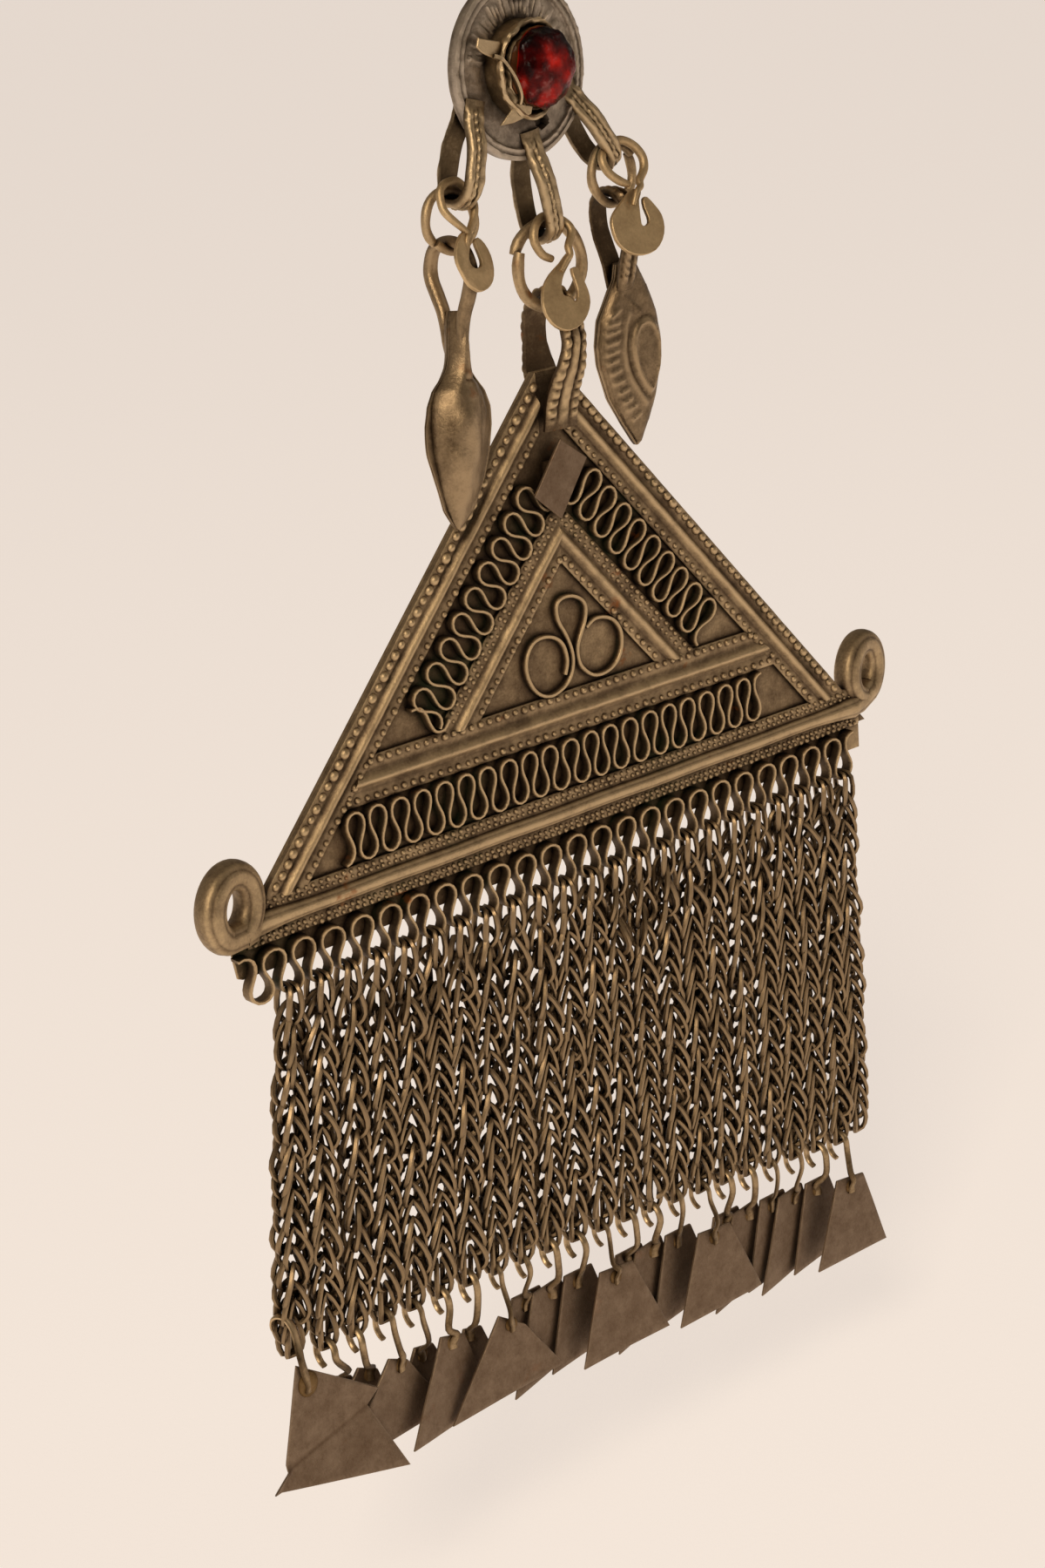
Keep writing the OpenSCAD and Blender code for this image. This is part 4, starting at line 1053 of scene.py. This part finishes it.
# The hooks as the camera sees them: the crescent's outline, the depth where that was measured, its middle and slope;
# the wire as (x, z, depth where they were measured, depth where it lies), its radius, and its sizes from end to end
HOOKS = {
    "centre": ([(1.4, 72.1), (-.1, 70.9), (-1.8, 69.8), (-3, 68.3), (-3.3, 66.6), (-3, 65), (-2.1, 63.5), (-.7, 62.4),
               (.9, 62), (2.5, 62.4), (3.7, 63.5), (4.3, 65), (4.1, 66.6), (3.4, 68.3), (2.9, 69.4), (2.6, 69.9),
               (1.7, 69.9), (1.9, 68.8), (2.4, 67.1), (2.3, 65.9), (1.9, 65.5), (1.3, 66.1), (.6, 66.5), (.1, 66.8),
               (-.1, 68), (.4, 69.3), (1.4, 70.5), (2, 71.3)],
              -4.3, (.4, -4.6, 65.9), -0.09,
              [(.9, 70.7, -1.8, -2.3), (-.5, 71.4, -1.8, -2.3), (-1.5, 72.8, -1.8, -2.1), (-1.7, 73.9, -1.8, -1.9),
               (-1.3, 75.2, -1.8, -1.5), (-.3, 76.2, -1.8, -1.0), (1.3, 76.3, -1.8, -.9), (2.9, 75.3, -2.2, -1.5),
               (3.9, 74.1, -2.2, -2.3), (3.9, 73, -2.2, -2.8), (3.3, 71.7, -2.2, -3.5), (1.75, 71.4, -4.3, -4.1),
               (1.2, 70.9, -4.3, -4.2), (.1, 69.6, -4.3, -4.4)],
              0.54, [0.85, *[1] * 9, 0.95, 0.8, 0.65, 0.45]),
    "left": ([(-14.4, 76.6), (-15.3, 75.6), (-15.8, 74.2), (-15.7, 72.7), (-15, 71.1), (-14.2, 69.7), (-12.8, 68.7),
               (-11.5, 68.9), (-10.6, 69.8), (-10.3, 71.3), (-10.6, 73.1), (-11.4, 74.7), (-12.4, 75.6), (-12.9, 75.1),
               (-12.5, 73.9), (-12.1, 72.7), (-12.2, 71.9), (-13.1, 71.7), (-13.8, 72.4), (-13.9, 73.6), (-13.5, 74.9),
               (-13.1, 76.1)],
              -4.0, (-12.3, -4.3, 72.7), 0.22,
              [(-11.6, 75.2, -1.5, -3.3), (-11.1, 76, -1.5, -2.8), (-10.5, 77.3, -1.5, -2.2),
               (-10.3, 78.6, -1.5, -1.8), (-10.7, 79.9, -1.5, -1.3), (-11.6, 81.2, -1.5, -.9),
               (-12.6, 82.1, -1.5, -.9), (-13.6, 82.2, -1.5, -1.0), (-14.6, 81.9, -1.5, -1.3),
               (-15.3, 81.1, -1.5, -1.6), (-15.3, 79.8, -1.5, -1.9), (-14.9, 78.5, -1.5, -2.4),
               (-13.8, 77.2, -1.5, -3.0), (-13.7, 76.3, -4, -3.7), (-13.8, 75.6, -4, -4.0), (-14.3, 74.3, -4, -4.1)],
              0.5, [.7, .9, *[1] * 10, 0.95, 0.8, 0.65, 0.5]),
    "right": ([(12.6, 78.1), (11.4, 77.3), (9.8, 76), (8.9, 74.9), (8.8, 73.7), (9.3, 71.9), (10.3, 70.6),
               (11.9, 69.6), (13.8, 69.2), (15.7, 69.5), (17, 70.7), (17.5, 72.3), (17.2, 74), (16.3, 75.3),
               (15, 76.7), (14.3, 76.6), (14.4, 75.4), (14.9, 74.1), (14.9, 73.3), (14.2, 73), (13.7, 73.3),
               (13.6, 75.1), (13.6, 76.5), (14.1, 77.8)],
              -4.2, (12.6, -4.2, 73.3), 0.0,
              [(13.7, 78, -2.5, -2.9), (12.3, 78.6, -2.5, -2.7), (10.7, 79.8, -2.5, -2.3), (9.8, 81.1, -2.5, -1.9),
               (9.6, 82.3, -2.5, -1.4), (10.3, 83.3, -2.5, -1.0), (11.7, 83.9, -2.4, -.9), (13.2, 83.9, -2.2, -1.0),
               (14.6, 83.3, -2.2, -1.2), (15.8, 82.3, -2.2, -1.5), (16.6, 81, -2.2, -1.9), (16.6, 79.5, -2.2, -2.4),
               (15.7, 78.1, -2.2, -3.0), (14.9, 77.6, -3.2, -3.6), (13.4, 77.4, -4.2, -4.0), (12.7, 75.8, -4.2, -4.2)],
              0.56, [.7, *[1] * 11, 0.95, 0.8, 0.65, 0.45])}


def along_view(x, z, y0, y):
    """What the camera sees at x and z if it lies at depth y0, moved along its line of sight to depth y."""
    return x + (y - y0) * VIEW_X, y, z + (y - y0) * VIEW_Z


def crescent(shape, outline, y0, centre, kx, kz=0.33, thick=0.6):
    """A flat crescent: its outline as the camera sees it at depth y0, laid on a tilted plane."""
    def on_plane(q):
        back = ((q - centre[::2]) @ (kx, kz) + centre[1] - y0) / (1 - VIEW_X * kx - VIEW_Z * kz)
        return np.stack(along_view(*q.T, y0, y0 + back), 1)
    o = smooth(outline, 2, True)
    if runs_backwards(o):
        o = o[::-1]
    d = unit(np.roll(o, -1, 0) - np.roll(o, 1, 0))
    inner, outer = on_plane(o + np.stack([-d[:, 1], d[:, 0]], 1) * 0.09), on_plane(o)
    face = unit((kx, -1.0, kz)) * thick / 2
    side = face * (1 - 0.09 * 2 / thick)
    shape.layers(np.array([inner + face, outer + side, outer - side, inner - face]), 0.35, 0.9)


def build_hooks(material):
    for side, (outline, y0, centre, kx, path, wire, size) in HOOKS.items():
        s = Shape()
        crescent(s, outline, y0, centre, kx)
        p = smooth([along_view(*q) for q in path], 4)
        s.wire(p, wire, 10, False, stretched(size, len(p)), 0.3)
        node = "s_hook_" + side
        s.piece(node + "_brass", [material], "medallion", node, "yellow_metal")


def leaf_place(at, rx, ry):
    """Puts a leaf's points in their place, turned about X and then about Y."""
    def place(p):
        x, y, z = np.moveaxis(p, -1, 0)
        y, z = spin(y, z, math.radians(rx))
        x, z = spin(x, z, -math.radians(ry))
        return np.stack([x, y, z], -1) + at
    return place


def shells(shape, place, depth, rows, us, face):
    """A leaf's front and back shell, from face(row, u, sign) = (point, tone); their inner faces lie at a depth."""
    for sign in (-1, 1):
        p, tones = lattice(rows, us, lambda row, u: face(row, u, sign))
        inside = p[:, ::-1].copy()
        inside[..., 1] = sign * depth
        shape.grid(place(np.concatenate([p, inside], 1)), False, True, 2,
                   np.concatenate([tones, np.full(tones.shape, -0.6)], 1))


def build_leaf_left(material):
    """A hollow pod of two shells, drawn out above into a neck that forks into the loop."""
    s = Shape()
    set_at = leaf_place((-18.1, -3, 41.3), -5.5, 8.5)

    def place(p):
        bow = np.interp(p[..., 2:], [0, 6, 14, 20, 25, 34], [0, 0.55, 0.75, 0.65, 0.4, 0])
        return set_at(p + bow * (1, 0, 0))
    zs = np.concatenate([[0, 0.25], np.linspace(0.6, 25.6, 56), [26.0]])
    ws = np.interp(zs, [0, 0.6, 2.4, 6, 9, 12.5, 14.8, 16.6, 17.8, 19, 20.5, 22.5, 24.6, 26],
                   [.15, .75, 1.9, 3.3, 4.1, 4.5, 4.35, 3.75, 2.75, 1.9, 1.5, 1.35, 1.15, .7])
    ds = np.interp(zs, [0, 1.6, 4, 7, 11, 14, 16, 17.4, 18.6, 20, 22, 24.6, 26],
                   [.1, .55, 1.4, 2.2, 2.7, 2.8, 2.5, 2.1, 1.85, 1.8, 1.8, 1.75, 1.2])
    us = np.concatenate([[-1, -0.97], np.linspace(-0.93, 0.93, 33), [0.97, 1]])

    def face(row, u, sign):
        z, w, d = row
        flange = min(1, z / 2) * min(1, max(0.0, (18.5 - z) / 4))
        pod = min(1.0, max(0.0, (19.0 - z) / 2.5))
        k = math.cos(min(1.0, abs(u) / 0.93) * math.pi / 2)
        # the fullest line of the pod lies left of its middle
        rim = w + flange * (0.4 if u > 0 else 0.4 + 0.5 * bell(z - 10, 3.5))
        inner = w if u < 0 else rim * 0.93
        x = rim * u if abs(u) > 0.93 else inner * (u / 0.93 - 0.16 * k * pod)
        h = d * k ** (0.8 if u < 0 else 1.05) * (1.12 if sign < 0 else 0.85) if abs(u) <= 0.93 else 0.0
        # the pod's middle is painted lighter, as a highlight
        t = 0.3 if abs(u) > 0.95 else -0.8 if abs(u) > 0.88 else -0.3 + 0.7 * k ** 4
        if abs(u) < 0.9:
            h += 0.26 * lumps(x * 0.5, sign, z * 0.3) * min(1.0, w / 2) + 0.05 * lumps(x * 1.6, sign, z * 1.1)
            if sign < 0:
                # the fold and the crease get painted shade, and so does a band down the pod's left side
                fold = bell(segment_gap(x, z, (2.0, 9.5), (1.7, 15.5)), 0.35)
                crease = bell(segment_gap(x, z, (-0.4, 17.8), (2.0, 18.2)), 0.3)
                h -= 0.2 * fold + 0.35 * crease
                t -= 0.3 * fold + 0.7 * crease + bell(x + 2.9, 0.8) * bell(z - 11.2, 3.2)
        return (x, sign * (h + 0.22), z), max(-1.0, t)
    shells(s, place, 0.04, list(zip(zs, ws, ds)), us, face)

    # loop, a strap forged nearly round
    path = np.array([(0.1 * math.sin(z * 0.5), y, z) for y, z in smooth(FORKED_LOOP, 6)])
    size = np.stack([stretched([.3, .6, .75, .8, .8, .75, .64, .75, .8, .8, .75, .6, .3], len(path)),
                     stretched([.45, .8, .9, .95, .95, .85, .75, .85, .95, .95, .9, .8, .4], len(path))], 1)
    out, across = path_axes(path, False, (1, 0, 0))
    p = [[at + thick * squared(c, 0.85) * a + wide * d * b for c, d in circle(16)]
         for at, (thick, wide), a, b in zip(path, size, out, across)]
    s.grid(place(np.array(p)), False, True, 2, 0.1 + 0.5 * circle(16)[None, :, 0])
    s.piece("leaf_left_shell", [material], "medallion", "leaf_left", "aged_metal")


def outline_gap(x, z, outline):
    """Distance to a closed outline, negative inside it."""
    near, inside = 1e9, False
    for a, b in zip(outline, np.roll(outline, -1, 0)):
        near = min(near, segment_gap(x, z, a, b))
        if (a[1] > z) != (b[1] > z) and x < (b[0] - a[0]) * (z - a[1]) / (b[1] - a[1]) + a[0]:
            inside = not inside
    return -near if inside else near


# The left leaf's loop in Y and Z, and the right one's
FORKED_LOOP = [(-1.35, 19.4), (-1.4, 21.5), (-1.5, 23.6), (-1.9, 25.6), (-2.8, 27.6), (-3.5, 29.6), (-3.4, 31.6),
               (-2.3, 33.4), (0.2, 34.2), (2.7, 33.4), (3.8, 31.6), (3.9, 29.8), (3.0, 27.8), (2.0, 25.8),
               (1.5, 23.8), (1.3, 21.5), (1.2, 19.4)]
STRAP_LOOP = [(-0.9, 20), (-1.6, 23.05), (-2.9, 27.32), (-2.2, 30.8), (0.4, 32), (3, 30.8), (3.2, 27.32), (1.6, 23.05),
              (0.9, 20)]
# On the right leaf's front: the rim of its boss, the band round it and the flutes beside that
BOSS_RIM = [(17.1, 60.7), (15.8, 60.4), (14.9, 59.4), (14.5, 57.7), (14.7, 55.6), (15.5, 53.7), (16.8, 51.8),
            (17.8, 53.0), (18.5, 54.8), (18.9, 56.6), (18.8, 58.5), (18.2, 59.9)]
BAND = [(14.1, 62.0), (13.5, 60.9), (13.2, 59.5), (12.8, 57.6), (13.0, 55.7), (13.7, 53.8), (15.0, 51.8),
        (16.0, 50.3)]
FLUTES = [((10.4, 61.1), (12.3, 61.2)), ((10.2, 60.0), (12.2, 60.2)), ((10.1, 58.7), (12.0, 58.9)),
          ((10.0, 57.5), (11.8, 57.8)), ((10.0, 56.3), (11.6, 56.6)), ((10.4, 54.9), (12.0, 55.3)),
          ((10.8, 53.6), (12.3, 53.9)), ((11.5, 52.3), (13.0, 52.6)), ((12.1, 51.0), (13.5, 51.4)),
          ((12.7, 49.9), (14.2, 50.3)), ((13.6, 48.5), (14.9, 49.1)), ((11.2, 62.1), (12.6, 62.7))]


def build_leaf_right(material):
    s = Shape()
    at = (14.2, 0.3, 45.1)
    place = leaf_place(at, 0, -1)
    zs = np.concatenate([[45.0], np.linspace(45.5, 68.2, 74)])
    left = np.interp(zs, [45, 45.5, 48, 51.6, 56, 58.5, 61.6, 64, 66.4, 68.2],
                     [14.5, 14.1, 12.5, 10.5, 9.2, 9.1, 9.8, 11.4, 13.0, 13.4])
    right = np.interp(zs, [45, 45.5, 48, 50.9, 54.9, 58.3, 61.7, 65.2, 67.5, 68.2],
                      [14.9, 15.5, 17.0, 18.4, 19.9, 20.1, 19.5, 18.1, 16.9, 16.5])
    rim = smooth(BOSS_RIM, 2, True)
    us = np.concatenate([[0, 0.02], np.linspace(0.05, 0.95, 43), [0.98, 1]])

    def face(row, u, sign):
        z, x0, x1 = row
        x = x0 + (x1 - x0) * u
        gap_to = lambda lines: min(segment_gap(x, z, *line) for line in lines)
        edge = min(u, 1 - u) * (x1 - x0)
        k = min(1.0, edge / 1.5)
        h, t = 0.3 + 0.75 * (k * (2 - k)) * (0.35 + 0.65 * min(1, (z - 45) / 6)), -0.1
        # on the front, the band's ridge, the flutes and the boss's rim are painted lighter, as highlights
        if sign < 0:
            d = outline_gap(x, z, rim)
            if d < 0:
                h += 0.1 + 0.14 * min(1.0, -d / 1.5)
                t = -0.6 + 0.3 * lumps(x, 3, z)
            else:
                ridge, flute = bell(gap_to(zip(BAND, BAND[1:])), 0.42), bell(gap_to(FLUTES), 0.3)
                h += 0.17 * ridge + 0.2 * flute - 0.16 * bell(d - 0.75, 0.3)
                t = -0.6 + 1.1 * ridge + 1.4 * flute
            crest = bell(d, 0.36)
            h += 0.3 * crest + 0.16 * bell(segment_gap(x, z, (13.6, 64.2), (16.2, 61.9)), 0.16)
            t += 1.7 * crest
        if edge < 0.3:
            h, t = 0.06 + 0.3 * edge, 0.7
        return (x - at[0], sign * (0.22 + h) + 0.06 * lumps(x * 0.5, sign, z * 0.5), z - at[2]), t
    shells(s, place, 0.05, list(zip(zs, left, right)), us, face)
    strap(s, "leaf", smooth(STRAP_LOOP, 8), lambda t: 3.1 - 0.5 * np.sin(math.pi * t), 0.6, place)
    s.piece("leaf_right_shell", [material], "medallion", "leaf_right", "aged_metal")


# ---------------------------------------------------------------- the whole necklace
METALS = {  # dark, mid and bright colour; roughness, dirt and painted shade, grain, rust, green, scratches
    "aged_brass": ((0.026, 0.017, 0.012), (0.16, 0.106, 0.061), (0.58, 0.425, 0.243), (0.34, 0.56), 1.45, 0.0001,
                   0.7, 0.45),
    # the links' brass is darker than the aged brass, partly tarnish and partly painted shade among the crowded links
    "chain_brass": ((0.005, 0.003, 0.0017), (0.068, 0.043, 0.024), (0.32, 0.222, 0.124), (0.28, 0.46), 1.8,
                    0.00003),
    "disc_silver": ((0.025, 0.019, 0.014), (0.185, 0.145, 0.108), (0.55, 0.46, 0.36), (0.36, 0.58), 1.2, 0.00012),
    "cup_brass": ((0.018, 0.011, 0.006), (0.16, 0.112, 0.062), (0.56, 0.42, 0.25), (0.28, 0.48), 1.4, 0.0001),
    "satin_brass": ((0.11, 0.068, 0.032), (0.37, 0.255, 0.133), (0.68, 0.5, 0.28), (0.38, 0.54), 0.8, 0.00007),
    "hook_brass": ((0.035, 0.02, 0.01), (0.17, 0.11, 0.055), (0.58, 0.42, 0.24), (0.28, 0.44), 1.1, 0.00003),
    "drop_sheet": ((0.06, 0.04, 0.026), (0.19, 0.125, 0.078), (0.34, 0.25, 0.17), (0.42, 0.58), 0.6, 0.00003,
                   0.15, 0, 0.8),
    "solder": ((0.06, 0.032, 0.012), (0.18, 0.105, 0.042), (0.34, 0.22, 0.1), (0.5, 0.7)),
    "leaf_brass": ((0.012, 0.0075, 0.004), (0.095, 0.062, 0.034), (0.4, 0.285, 0.165), (0.26, 0.5), 1.45, 0.0001,
                   0.5)}
RINGS = {  # body, middle, radius, wire, angle of the gap, how far its ends miss, seed
    "top_ring": ("neck_chain", (-1.1, 0, 114.8), 4.2, 0.65, 1.2, 0.5, 1),
    "centre_ring": ("medallion", (2.3, 0.4, 69.8), 5.3, 0.76, 2.75, 0.9, 2),
    "jump_ring_left": ("medallion", (-12.6, 0.4, 77.3), 3.6, 0.58, 3.9, 0.5, 3),
    "jump_ring_right": ("medallion", (13.7, 0.4, 79.4), 3.6, 0.6, 0.6, 0.6, 4)}


def main():
    add_camera()
    add_stage()
    aged, chain, grey, cup, brass, strip_metal, sheet_metal, solder, leaf = (
        metal(name, *look) for name, look in METALS.items())
    build_plate([aged, sheet_metal])
    for n in range(1, CHAIN_COUNT + 1):
        build_chain(n, chain)
    for n in range(1, CHAIN_COUNT):
        build_drop(n, [sheet_metal, strip_metal, solder])
    build_neck_chain(-1, chain)
    build_neck_chain(1, chain)
    build_clasp(aged)
    build_medallion([grey, cup])
    build_stone(glass_stone())
    for node, ring in RINGS.items():
        build_ring(node, aged, *ring)
    build_hooks(brass)
    build_leaf_left(leaf)
    build_leaf_right(leaf)


main()
